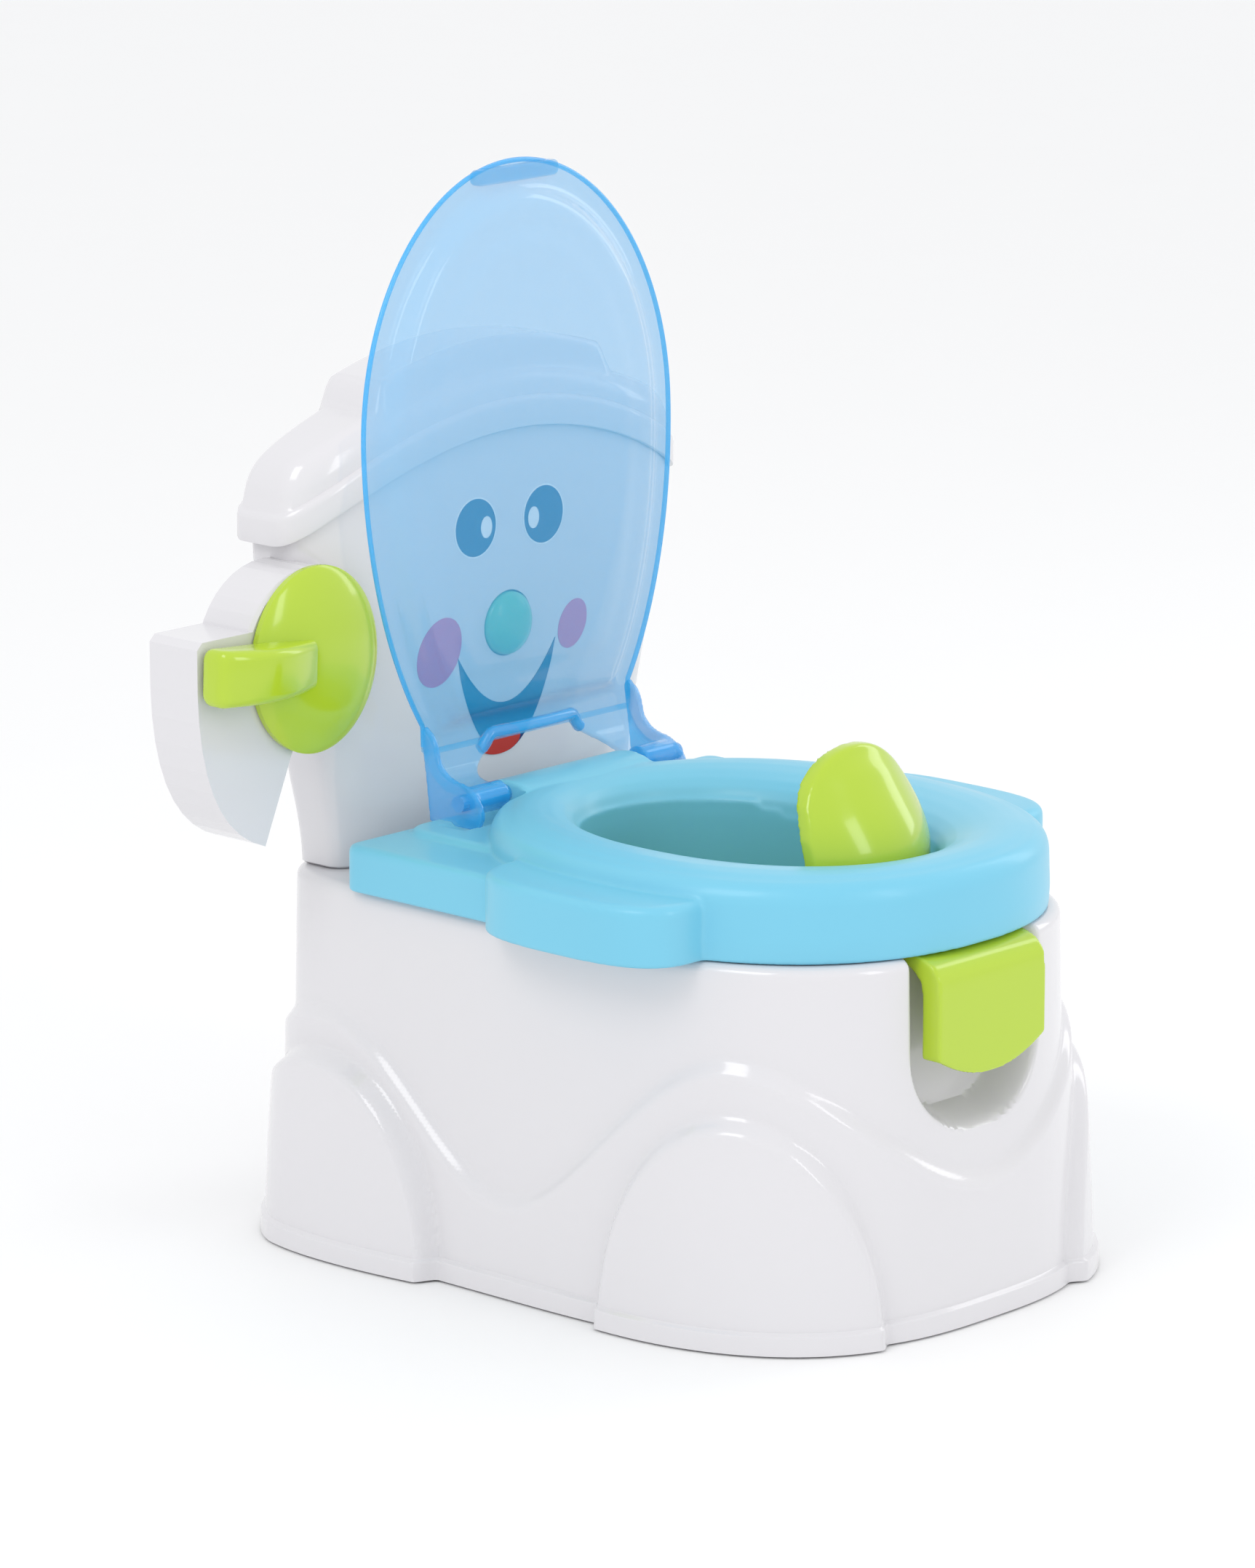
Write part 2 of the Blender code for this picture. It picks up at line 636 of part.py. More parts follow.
def build_cover(look, parent, origin):
    rim = outline(COVER_HALF_W, COVER_FRONT, COVER_REAR, COVER_MIDDLE, 2.8, 12.0)

    def shrunk(share):
        """Rings that close in on the cover's long middle line."""
        ring = []
        for p in rim:
            middle = Vector((max(min(p.x, 98.0), -98.0), COVER_MIDDLE + 1.0, 0))
            ring.append(p.lerp(middle, share))
        return ring

    def shell(drop, inset, shares):
        rings = []
        for share in shares:
            ring = grown(shrunk(share), -inset * (1 - share))
            rings.append([Vector((p.x, p.y, cover_height(p.x, p.y, share) - drop)) for p in ring])
        return rings

    shares = (0.10, 0.2, 0.32, 0.5, 0.72, 0.93)
    lower = at_height(rim, arch(COVER_EDGE, COVER_DROP, rim))
    band = at_height(rim, [z + RIM_HEIGHT - 1.5 for z in arch(COVER_EDGE, COVER_DROP, rim)])
    outside = [lower, band] + shell(0.0, 0.0, shares)
    inner_edge = grown(rim, -2.4)
    inner_low = at_height(inner_edge, arch(COVER_EDGE, COVER_DROP, inner_edge))
    inner_heights = [z + RIM_HEIGHT - 4.0 for z in arch(COVER_EDGE, COVER_DROP, inner_edge)]
    inner_band = at_height(inner_edge, inner_heights)
    inside = [inner_band] + shell(WALL, 2.4, shares[1:])
    cover = loft("tank_cover", list(reversed(outside)) + [inner_low] + inside, arched=True)
    place(cover, look, parent, origin)


# ---------------------------------------------------------------- flush handle

def guard_outline(inset=0.0):
    """The white guard beside the dial, as (x, z): flat top, straight side, then a curve to its tip."""
    left = DIAL_X - GUARD_REACH + inset
    top = DIAL_Z + GUARD_TOP - inset
    tip = (DIAL_X + GUARD_TIP[0] - 0.3 * inset, DIAL_Z + GUARD_TIP[1] + 1.4 * inset)
    curve = bezier((left, DIAL_Z - 5.0), (left + 1.0, DIAL_Z - 66.0), tip, 9)
    corner = [(DIAL_X - 8.0, top), (left + 3.0, top), (left, top - 3.0)]
    return corner + curve + [(DIAL_X - 6.0 - inset, DIAL_Z - 26.0)]


def build_housing(look, parent):
    back = DIAL_Y + DRUM_DEPTH
    housing = turned("handle_housing", [(DIAL_R - 1.5, DIAL_Y), (DIAL_R, DIAL_Y + 1.5), (DIAL_R, back)],
                     (DIAL_X, DIAL_Z), 40)
    boolean(housing, prism("guard", guard_outline(), "Y", DIAL_Y, back), "UNION")
    drum_hollow = rod("drum_hollow", "Y", (DIAL_X, DIAL_Z), DIAL_R - WALL, DIAL_Y + WALL, back + 5, 40)
    boolean(drum_hollow, prism("guard_hollow", guard_outline(WALL), "Y", DIAL_Y + WALL, back + 4), "UNION")
    boolean(housing, drum_hollow, "DIFFERENCE")
    boolean(housing, tank_outside("tank_form", GAP), "DIFFERENCE")
    boolean(housing, rod("bore", "Y", (DIAL_X, DIAL_Z), 4.4, DIAL_Y - 5, DIAL_Y + 8, 20), "DIFFERENCE")
    place(housing, look, parent)


def dial_profile(grow=0.0):
    back = DIAL_Y - GAP
    steps = 7
    profile = [(DIAL_R - 0.6, back), (DIAL_R, back - 0.8 - grow), (DIAL_R - 0.3 + grow, back - 3.0 - grow)]
    for step in range(1, steps):
        turn = math.pi / 2 * step / steps
        dome = DIAL_DOME * math.sin(turn) ** 1.5
        profile.append((DIAL_R * math.cos(turn) ** 0.9, back - 3.0 - grow - dome))
    profile.append((2.5, back - 3.0 - grow - DIAL_DOME))
    return profile


def build_flush(look, metal, parent, origin):
    dial = turned("flush_dial", dial_profile(), (DIAL_X, DIAL_Z), 40)
    boolean(dial, rod("socket", "Y", (DIAL_X, DIAL_Z), 4.3, DIAL_Y - 7, DIAL_Y + 3, 20), "DIFFERENCE")
    place(dial, look, parent, origin)

    tip_x = DIAL_X - 67.5
    front = bezier((tip_x + 0.5, 128.5), (tip_x + 26.0, 118.0), (DIAL_X - 14.0, 121.0), 7)
    back = [(DIAL_X - 12.5, 123.0), (DIAL_X - 12.5, 140.0), (tip_x + 1.0, 140.0), (tip_x, 138.5)]
    section = [(tip_x, 131.0)] + front + back
    lever = prism("flush_lever", section, "Z", DIAL_Z - LEVER_HALF_H, DIAL_Z + LEVER_HALF_H)
    bm = bmesh.new()
    bm.from_mesh(lever.data)
    turn = Matrix.Rotation(LEVER_TILT, 4, "Y")
    axis = Vector((DIAL_X, 0, DIAL_Z)) * MM
    bmesh.ops.rotate(bm, cent=axis, matrix=turn, verts=bm.verts)
    bm.to_mesh(lever.data)
    bm.free()
    boolean(lever, turned("dial_form", dial_profile(GAP), (DIAL_X, DIAL_Z), 40), "DIFFERENCE")
    place(lever, look, parent, origin)

    spindle = turned("flush_spindle", [(4.0, DIAL_Y - 6.5), (4.0, 144.6 + GAP), (7.0, 144.9 + GAP),
                                       (7.0, 146.4), (4.0, 146.6), (4.0, 151.6)], (DIAL_X, DIAL_Z), 20)
    place(spindle, metal, parent, origin)


def coil(name, centre, axis, radius, wire, turns, start, stop, per_turn=12):
    """A helical spring along Y or Z as a closed tube."""
    steps = int(turns * per_turn)
    curve = bpy.data.curves.new(name, "CURVE")
    curve.dimensions = "3D"
    curve.bevel_depth = wire * MM
    curve.bevel_resolution = 1
    curve.use_fill_caps = True
    spline = curve.splines.new("POLY")
    spline.points.add(steps)
    for step in range(steps + 1):
        turn = 2 * math.pi * step / per_turn
        along = start + (stop - start) * step / steps
        point = [centre[0] + radius * math.cos(turn), centre[1] + radius * math.sin(turn)]
        point.insert("XYZ".index(axis), along)
        spline.points[step].co = (*[value * MM for value in point], 1)
    holder = bpy.data.objects.new(name, curve)
    bpy.context.scene.collection.objects.link(holder)
    view = bpy.context.evaluated_depsgraph_get()
    mesh = bpy.data.meshes.new_from_object(holder.evaluated_get(view))
    bpy.data.objects.remove(holder)
    bm = bmesh.new()
    bm.from_mesh(mesh)
    bmesh.ops.remove_doubles(bm, verts=bm.verts, dist=0.02 * MM)
    bmesh.ops.scale(bm, vec=(1 / MM, 1 / MM, 1 / MM), verts=bm.verts)
    return finish_mesh(name, bm)


def screw(name, axis, centre, head_at, inward, length, look, parent):
    """A pan-head screw. inward is +1 or -1, the way its shank points along the axis."""
    head_end = head_at + inward * 2.4
    tip = head_end + inward * length
    made = rod(name, axis, centre, 3.6, head_at, head_end, 14)
    boolean(made, rod("shank", axis, centre, 1.6, head_end - inward * 0.5, tip, 10), "UNION")
    slot_half = 0.45
    low = [value - 2.4 for value in centre]
    high = [value + 2.4 for value in centre]
    low[0], high[0] = centre[0] - slot_half, centre[0] + slot_half
    ends = sorted((head_at - inward * 1.0, head_at + inward * 0.9))
    low.insert("XYZ".index(axis), ends[0])
    high.insert("XYZ".index(axis), ends[1])
    boolean(made, box("drive", low, high), "DIFFERENCE")
    place(made, look, parent)


def build_flush_fixings(metal, parent):
    spring = coil("flush_spring", (DIAL_X, DIAL_Z), "Y", 6.0, 0.55, 2.5, 147.6, 151.0)
    place(spring, metal, parent)


# ---------------------------------------------------------------- nose button and sound unit

def build_nose(look, parent, origin):
    profile = [(3.0, NOSE_Y - 1.6), (7.0, NOSE_Y - 1.2), (11.0, NOSE_Y + 0.3), (13.3, NOSE_Y + 2.2),
               (NOSE_R, NOSE_Y + 4.6), (NOSE_R, NOSE_FLANGE_Y - 0.6), (18.0, NOSE_FLANGE_Y - 0.4),
               (18.0, NOSE_FLANGE_Y + 1.4), (3.4, NOSE_FLANGE_Y + 1.5), (3.4, 152.2)]
    place(turned("nose_button", profile, (0.0, NOSE_Z)), look, parent, origin)


def build_sound_unit(looks, parent):
    white, metal, board, black = looks["white"], looks["metal"], looks["board"], looks["black"]
    spring = coil("button_spring", (0.0, NOSE_Z), "Y", 6.5, 0.5, 3.0, 153.3, 160.3)
    place(spring, metal, parent)

    circuit = box("circuit_board", (-30.0, 161.1, 241.0), (30.0, 162.7, 283.0))
    place(circuit, board, parent)
    switch = rod("button_switch", "Y", (0.0, NOSE_Z), 4.2, 155.6, 160.8, 16)
    place(switch, black, parent)

    tray = box("battery_box", (-35.5, 163.0, 236.0), (35.5, 182.1, 288.0))
    boolean(tray, box("space", (-32.5, 165.0, 239.0), (32.5, 190.0, 285.0)), "DIFFERENCE")
    place(tray, black, parent)
    for number, z in enumerate((253.0, 271.0), 1):
        cell = rod(f"battery_{number}", "X", (174.0, z), 7.0, -25.0, 25.0, 18)
        boolean(cell, rod("terminal", "X", (174.0, z), 2.6, 24.0, 26.6, 12), "UNION")
        place(cell, metal, parent)
    door = box("battery_door", (-32.7, 183.4, 239.3), (32.7, 186.0, 284.7))
    boolean(door, rod("hole", "Y", (0.0, 262.0), 1.9, 180.0, 190.0, 10), "DIFFERENCE")
    place(door, white, parent)
    screw("door_screw", "Y", (0.0, 262.0), 188.7, -1, 3.6, metal, parent)

    cone = [(8.0, 169.0), (8.0, 175.0), (13.0, 176.0), (18.0, 180.5), (18.0, 182.0)]
    speaker = turned("speaker", cone, (62.0, 263.0), 28)
    place(speaker, black, parent)


def build_tank_screws(metal, parent):
    for number, (x, y) in enumerate(tank_screw_places(), 1):
        screw(f"tank_screw_{number}", "Z", (x, y), BASE_TOP - WALL - GAP - 2.4, 1, 13.0, metal, parent)


# ---------------------------------------------------------------- assembly

def empty(name, parent, place_at=(0, 0, 0)):
    made = bpy.data.objects.new(name, None)
    bpy.context.scene.collection.objects.link(made)
    made.parent = parent
    made.location = Vector(place_at) * MM
    return made


def main():
    clear_scene()
    white = material("white_plastic", WHITE, 0.22)
    lime = material("lime_plastic", LIME, 0.2)
    sky = material("sky_plastic", SKY, 0.42)
    clear = material("clear_blue_plastic", CLEAR_BLUE, 0.08, alpha=0.45)
    metal = material("steel", STEEL, 0.3, metallic=1.0)
    rubber = material("rubber", RUBBER, 0.8)
    board = material("circuit_board", (0.05, 0.25, 0.10), 0.5)
    black = material("black_plastic", (0.04, 0.04, 0.045), 0.45)
    green = material("green_plastic", GREEN, 0.25)

    chair = empty("chair", None, CHAIR_SHIFT)
    build_base(white, chair)
    build_pads(rubber, chair)
    build_bowl(lime, chair)
    build_seat(sky, chair, (0, 0, BASE_TOP))
    build_guard(lime, chair, (0, 0, BASE_TOP))
    build_lid(clear, chair, (0, HINGE_Y, HINGE_Z))
    build_pins(metal, chair, (0, HINGE_Y, HINGE_Z))
    build_tank(white, chair)
    build_tank_screws(metal, chair)
    build_cover(white, chair, (0, COVER_MIDDLE, COVER_EDGE))
    build_housing(white, chair)
    build_flush(lime, metal, chair, (DIAL_X, DIAL_Y, DIAL_Z))
    build_flush_fixings(metal, chair)
    build_nose(green, chair, (0, NOSE_FLANGE_Y, NOSE_Z))
    build_sound_unit({"white": white, "metal": metal, "board": board, "black": black}, chair)


main()
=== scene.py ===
"""The looks of the potty training chair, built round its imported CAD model.

Shapes are worked out in the CAD source's own working frame, in millimetres: X to the child's left,
Y to the rear and Z up, with the seat ring near the origin. SHIFT carries them into the row frame.
"""
import json
import math

import bpy
import bmesh
import numpy as np
from mathutils import Matrix, Vector


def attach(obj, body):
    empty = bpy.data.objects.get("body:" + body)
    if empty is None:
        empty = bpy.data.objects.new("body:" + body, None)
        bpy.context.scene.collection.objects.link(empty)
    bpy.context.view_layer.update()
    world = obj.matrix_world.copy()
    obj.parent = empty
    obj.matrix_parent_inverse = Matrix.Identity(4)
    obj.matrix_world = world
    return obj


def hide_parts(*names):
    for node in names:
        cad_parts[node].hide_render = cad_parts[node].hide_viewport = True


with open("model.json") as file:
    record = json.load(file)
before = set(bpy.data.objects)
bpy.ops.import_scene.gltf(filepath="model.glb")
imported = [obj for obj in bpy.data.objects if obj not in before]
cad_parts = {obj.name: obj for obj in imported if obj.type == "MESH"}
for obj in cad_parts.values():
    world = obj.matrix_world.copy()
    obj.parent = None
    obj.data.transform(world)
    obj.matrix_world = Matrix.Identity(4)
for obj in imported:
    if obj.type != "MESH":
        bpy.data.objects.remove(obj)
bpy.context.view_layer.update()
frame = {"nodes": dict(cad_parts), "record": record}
NODES = frame["nodes"]

MM = 0.001                              # one millimetre, in Blender's metres
GAP = 0.3                               # clearance between parts that touch
SHIFT = Vector((27.5, -29.75, 0.0))     # from the working frame to the row frame
WALL = 3.0                              # thickness of the white and lime mouldings

# Base. Shares run round the outline from the middle of the rear (0) to the middle of the front (1).
BASE_TOP, BASE_LIFT = 163.0, 1.0
BASE_PLAN = dict(half_width=112.5, front=-130.5, rear=190.0, middle=30.0, power=3.0, rear_power=6.5)
BASE_DRAFT = 0.022
LIP_HEIGHT, LIP_STEP = 10.0, 2.0
LEDGE_STEP, LEDGE_RUN = 4.4, 8.5
SKIRT_WAVE = ((0.0, 58.0), (0.29, 105.0), (0.51, 42.0), (0.75, 120.0), (1.0, 62.0))
REAR_FOOT = (0.295, 0.145, 92.0, 14.5)      # middle, half length, height, bulge
FRONT_FOOT = (0.755, 0.128, 101.0, 10.0)
OPENING = dict(half_width=84.0, front=-105.0, rear=92.0, middle=-5.0, power=2.4)
SCOOP_HALF_W, SCOOP_BOTTOM, SCOOP_DEPTH = 41.0, 85.0, 19.5
SHOULDER = 5.0                              # radius of the base's top edge

# Bowl
HANDLE_HALF_W, HANDLE_BACK, HANDLE_FRONT = 34.4, -111.4, -138.4

# Seat
RING_OUTER = dict(half_width=110.5, front=-132.0, rear=108.0, middle=-10.0, power=2.25)
RING_HOLE = dict(half_width=60.0, front=-90.0, rear=80.0, middle=-5.0, power=2.2)
RING_TOP, DECK_TOP = 199.5, 184.0
DECK_HALF_W, DECK_FRONT, DECK_REAR = 118.0, 30.0, 129.5
GRIP_PLAN = dict(half_width=32.0, front=-66.0, rear=42.0, middle=-12.0, power=3.0)
GRIP_X, GRIP_TOP = 105.0, 189.5
RING_COUNT = 220
GUARD_HALF_W, GUARD_TOP, GUARD_FOOT, GUARD_THICK = 34.5, 238.0, 158.0, 7.0

# Hinge, with the wells in the seat that take the lid's legs
HINGE_Y, HINGE_Z = 106.0, 196.8
WELL_R, WELL_OUT, WELL_IN = 12.6, 74.8, 40.4

# Lid
CHEEK_OUT, CHEEK_IN, BARREL_R, BARREL_IN = 66.5, 63.7, 6.5, 44.0
LID_Y, LID_LEAN = 131.4, math.radians(1.85)
LID_FOOT, LID_WAIST, LID_TOP = 213.0, 350.0, 468.0
LID_HALF_W, LID_LOWER_REACH, LID_THICK = 97.5, 169.0, 2.4
PANEL_STEP, RIM_BAND = 7.0, 12.0
SLOT_HALF_W, SLOT_LIP_HALF_W, SLOT_LIP_R, EDGE_R = 27.0, 32.0, 2.8, 1.15

# Tank
TANK_MIDDLE, TANK_FOOT_Z = 164.5, 163.3
COVER_PLAN = dict(half_width=125.0, front=138.4, rear=190.0, middle=166.0, power=2.8, rear_power=12.0)
COVER_EDGE, COVER_DROP, RIM_HEIGHT = 348.5, 38.0, 14.0
CROWN_RISE, CROWN_DROP, HUMP_RISE, HUMP_HALF_W = 26.5, 32.0, 13.0, 76.0

# Face
EYE_X, EYE_Z, EYE_A, EYE_B = 21.6, 307.0, 12.5, 12.9
CHEEK_X, CHEEK_Z, CHEEK_A, CHEEK_B, CHEEK_TILT = 42.5, 254.0, 12.5, 16.0, -28.0
LEFT_CHEEK_SIZE = 0.72
MOUTH_HALF_W, MOUTH_CORNER_Z, UPPER_LIP_DROP, LOWER_LIP_DROP = 31.0, 249.5, 24.5, 47.0

# Flush handle and nose
DIAL_X, DIAL_Y, DIAL_Z, DIAL_R, DIAL_DOME = -124.0, 141.5, 265.0, 40.0, 8.0
DIAL_SQUASH = (0.93, 1.0, 1.03)             # the dial is slightly taller than it is wide
LEVER_REACH, LEVER_HALF_H, LEVER_TILT = 67.0, 12.5, math.radians(2.5)
NOSE_Z, NOSE_R, NOSE_Y = 261.0, 14.3, 138.6

# Stage
FLOOR_REACH = 30.0
LAMP_AIM = (0.0, 0.0, 0.22)
CAMERA_PLACE, CAMERA_AIM = Vector((-2281.0, -2037.0, 938.0)), Vector((0.7145, 0.6603, -0.2314))
CAMERA_LENS = 167.6


# ---------------------------------------------------------------- materials

def plastic(name, colour, roughness, coat=0.0, speckle=0.02, bump=0.02, alpha=1.0, subsurface=0.0):
    """Moulded plastic: a faint drift in colour, a mottled gloss and the soft waviness of a moulding."""
    made = bpy.data.materials.new(name)
    made.use_nodes = True
    nodes, links = made.node_tree.nodes, made.node_tree.links
    shader = nodes["Principled BSDF"]
    place = nodes.new("ShaderNodeTexCoord")

    def noise(scale, detail):
        node = nodes.new("ShaderNodeTexNoise")
        node.inputs["Scale"].default_value = scale
        node.inputs["Detail"].default_value = detail
        links.new(place.outputs["Object"], node.inputs["Vector"])
        return node

    tint = nodes.new("ShaderNodeMix")
    tint.data_type = "RGBA"
    tint.inputs["A"].default_value = (*[c * (1 - speckle) for c in colour], 1)
    tint.inputs["B"].default_value = (*[min(c * (1 + speckle), 1) for c in colour], 1)
    links.new(noise(9.0, 3.0).outputs["Fac"], tint.inputs["Factor"])
    links.new(tint.outputs["Result"], shader.inputs["Base Color"])

    gloss = nodes.new("ShaderNodeMapRange")
    gloss.inputs["To Min"].default_value = roughness * 0.82
    gloss.inputs["To Max"].default_value = roughness * 1.2
    links.new(noise(35.0, 4.0).outputs["Fac"], gloss.inputs["Value"])
    links.new(gloss.outputs["Result"], shader.inputs["Roughness"])

    relief = nodes.new("ShaderNodeBump")
    relief.inputs["Strength"].default_value = bump
    relief.inputs["Distance"].default_value = 0.0006
    links.new(noise(420.0, 2.0).outputs["Fac"], relief.inputs["Height"])
    links.new(relief.outputs["Normal"], shader.inputs["Normal"])

    shader.inputs["Coat Weight"].default_value = coat
    shader.inputs["Coat Roughness"].default_value = 0.06
    shader.inputs["Alpha"].default_value = alpha
    shader.inputs["Subsurface Weight"].default_value = subsurface
    shader.inputs["Subsurface Radius"].default_value = (0.004, 0.004, 0.004)
    return made


def brushed_metal(name):
    """Zinc-plated steel, with the same mottled gloss."""
    made = plastic(name, (0.62, 0.63, 0.65), 0.3, bump=0.05)
    made.node_tree.nodes["Principled BSDF"].inputs["Metallic"].default_value = 1.0
    return made


# The looks of the record's material slots
LOOKS = {
    "white_plastic": plastic("white_gloss", (0.71, 0.70, 0.722), 0.15, coat=0.35, speckle=0.01),
    "lime_plastic": plastic("lime_gloss", (0.45, 0.62, 0.03), 0.17, coat=0.4, subsurface=0.05),
    "sky_plastic": plastic("sky_satin", (0.18, 0.56, 0.745), 0.36, coat=0.1, subsurface=0.08),
    "clear_blue_plastic": plastic("clear_blue", (0.02, 0.41, 0.79), 0.06, coat=1.0, alpha=0.35,
                                  speckle=0.03),
    "green_plastic": plastic("green_gloss", (0.10, 0.50, 0.30), 0.2, coat=0.3),
    "steel": brushed_metal("zinc_steel"),
    "rubber": plastic("grey_rubber", (0.15, 0.15, 0.16), 0.75, bump=0.25),
    "circuit_board": plastic("board_lacquer", (0.04, 0.22, 0.09), 0.4),
    "black_plastic": plastic("black_satin", (0.03, 0.03, 0.034), 0.42, bump=0.08),
}

# Looks of single pieces: the lid's edge and legs, which are thicker to look through, and the prints
RIM_LOOK = plastic("clear_blue_edge", (0.04, 0.42, 0.88), 0.08, coat=0.3, alpha=0.6)
LEG_LOOK = plastic("clear_blue_thick", (0.02, 0.38, 0.84), 0.07, coat=1.0, alpha=0.56, speckle=0.03)
NAVY = plastic("navy_print", (0.018, 0.032, 0.13), 0.3)
PINK = plastic("pink_print", (0.66, 0.06, 0.21), 0.35)
RED = plastic("red_print", (0.52, 0.028, 0.012), 0.3)
PRINT_WHITE = plastic("white_print", (0.86, 0.86, 0.86), 0.3)


# ---------------------------------------------------------------- mesh helpers

def smooth(share):
    """Eases a share from 0 to 1."""
    share = np.clip(share, 0.0, 1.0)
    return share * share * (3 - 2 * share)


def superellipse(half_width, front, rear, middle, power, rear_power=None, shares=None, inward=0.0):
    """A plan outline's points and outward normals, at shares of its length from the middle of the rear."""
    turn = math.pi / 2 + np.linspace(0, 2 * math.pi, 6001)
    across, along = np.cos(turn), np.sin(turn)
    exponent = np.where(along < 0, power, rear_power or power)
    x = half_width * np.sign(across) * np.abs(across) ** (2 / exponent)
    reach = np.where(along < 0, middle - front, rear - middle)
    y = middle + reach * np.sign(along) * np.abs(along) ** (2 / exponent)
    run = np.concatenate([[0], np.cumsum(np.hypot(np.diff(x), np.diff(y)))])
    at = np.asarray(shares) * run[-1]
    step = 0.6
    xs, ys = np.interp(at, run, x), np.interp(at, run, y)
    dx = np.interp((at + step) % run[-1], run, x) - np.interp((at - step) % run[-1], run, x)
    dy = np.interp((at + step) % run[-1], run, y) - np.interp((at - step) % run[-1], run, y)
    length = np.hypot(dx, dy)
    normals = np.stack([dy / length, -dx / length], 1)
    return np.stack([xs, ys], 1) - normals * inward, normals


def ring(plan, z, inward=0.0, count=160):
    """A plan outline at one height, as evenly spaced points."""
    points = superellipse(**plan, shares=np.arange(count) / count, inward=inward)[0]
    return np.column_stack([points, np.full(count, float(z))])


def finish_mesh(name, bm, look, body, replaces=()):
    """Turns millimetre geometry into a smooth-shaded piece that rides on a body."""
    bmesh.ops.recalc_face_normals(bm, faces=bm.faces)
    bmesh.ops.translate(bm, vec=SHIFT, verts=bm.verts)
    bmesh.ops.scale(bm, vec=(MM, MM, MM), verts=bm.verts)
    mesh = bpy.data.meshes.new(name)
    bm.to_mesh(mesh)
    bm.free()
    made = bpy.data.objects.new(name, mesh)
    bpy.context.scene.collection.objects.link(made)
    if look:
        dress(made, look, body, replaces)
    return made


def dress(made, look, body, replaces=(), sharp=40):
    """Gives a piece its look and body, and hides the CAD nodes that it stands in for."""
    made.data.materials.clear()
    made.data.materials.append(look)
    made.data.shade_smooth()
    made.data.set_sharp_from_angle(angle=math.radians(sharp))
    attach(made, body)
    if replaces:
        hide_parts(*replaces)
    return made


def skin(rings, wrap=False, ends=True):
    """A bmesh that skins a stack of equal rings."""
    bm = bmesh.new()
    rows = [[bm.verts.new(p) for p in points] for points in rings]
    pairs = list(zip(rows, rows[1:])) + ([(rows[-1], rows[0])] if wrap else [])
    count = len(rows[0])
    for low, high in pairs:
        for i in range(count):
            j = (i + 1) % count
            bm.faces.new((low[i], low[j], high[j], high[i]))
    if not wrap and ends:
        bm.faces.new(rows[0])
        bm.faces.new(rows[-1])
    return bm


def strip_ends(bm, rings):
    """Closes the long thin first and last rings of a stack with faces across their width."""
    bm.verts.ensure_lookup_table()
    count = len(rings[0])
    for first in (0, (len(rings) - 1) * count):
        row = [bm.verts[first + i] for i in range(count)]
        for i in range(count // 4):
            for side in (1, -1):
                corners = (row[side * i], row[side * (i + 1)],
                           row[count // 2 - side * (i + 1)], row[count // 2 - side * i])
                bm.faces.new(list(dict.fromkeys(corners)))
    return bm


def solid(name, rings, wrap=False):
    """A bare solid, for use in a join or a cut."""
    return finish_mesh(name, skin(rings, wrap), None, None)


def prism(name, section, axis, start, stop, layers=1):
    """A section in the other two axes, carried straight along one axis."""
    def lift(point, value):
        values = list(point)
        values.insert("XYZ".index(axis), value)
        return values
    return solid(name, [[lift(p, v) for p in section] for v in np.linspace(start, stop, layers + 1)])


def arc(centre, radius, start, stop, count):
    """Points on a circle, between two angles in degrees."""
    turns = np.radians(np.linspace(start, stop, count))
    return [(centre[0] + radius * math.cos(t), centre[1] + radius * math.sin(t)) for t in turns]


def rounded(low, high, radius, count=6):
    """A rectangle with round corners."""
    (a, b), (c, d) = low, high
    points = []
    for cx, cy, turn in ((c - radius, d - radius, 0), (a + radius, d - radius, 90),
                         (a + radius, b + radius, 180), (c - radius, b + radius, 270)):
        points += arc((cx, cy), radius, turn, turn + 90, count)
    return points


def curve(points, count):
    """A smooth line through a few points (Catmull-Rom)."""
    points = [np.array(p, float) for p in points]
    points = [2 * points[0] - points[1]] + points + [2 * points[-1] - points[-2]]
    result = []
    for a, b, c, d in zip(points, points[1:], points[2:], points[3:]):
        for t in np.arange(count) / count:
            result.append(0.5 * (2 * b + (c - a) * t + (2 * a - 5 * b + 4 * c - d) * t ** 2
                                 + (3 * b - a - 3 * c + d) * t ** 3))
    return result + [points[-2]]


def combine(target, other, operation):
    """Joins or cuts one solid with another, which is used up."""
    step = target.modifiers.new("step", "BOOLEAN")
    step.operation = operation
    step.object = other
    step.solver = "EXACT"
    apply_modifiers(target)
    bpy.data.objects.remove(other)
    return target


def apply_modifiers(target):
    """Turns a piece's modifiers into plain geometry."""
    view = bpy.context.evaluated_depsgraph_get()
    result = bpy.data.meshes.new_from_object(target.evaluated_get(view))
    target.modifiers.clear()
    target.data = result


def blend_mesh(target, voxel, rounds):
    """Remeshes joined solids finely, then relaxes them, which rounds the edges and fills the joints."""
    melt = target.modifiers.new("melt", "REMESH")
    melt.mode = "VOXEL"
    melt.voxel_size = voxel * MM
    relax = target.modifiers.new("relax", "SMOOTH")
    relax.factor = 0.5
    relax.iterations = rounds
    apply_modifiers(target)
    return target


def round_edges(target, width, segments=3, angle=32):
    """Rounds the sharp edges of a piece or a CAD node with a bevel."""
    step = target.modifiers.new("edges", "BEVEL")
    step.width = width * MM
    step.segments = segments
    step.limit_method = "ANGLE"
    step.angle_limit = math.radians(angle)
    step.harden_normals = False
    return target


# ---------------------------------------------------------------- base

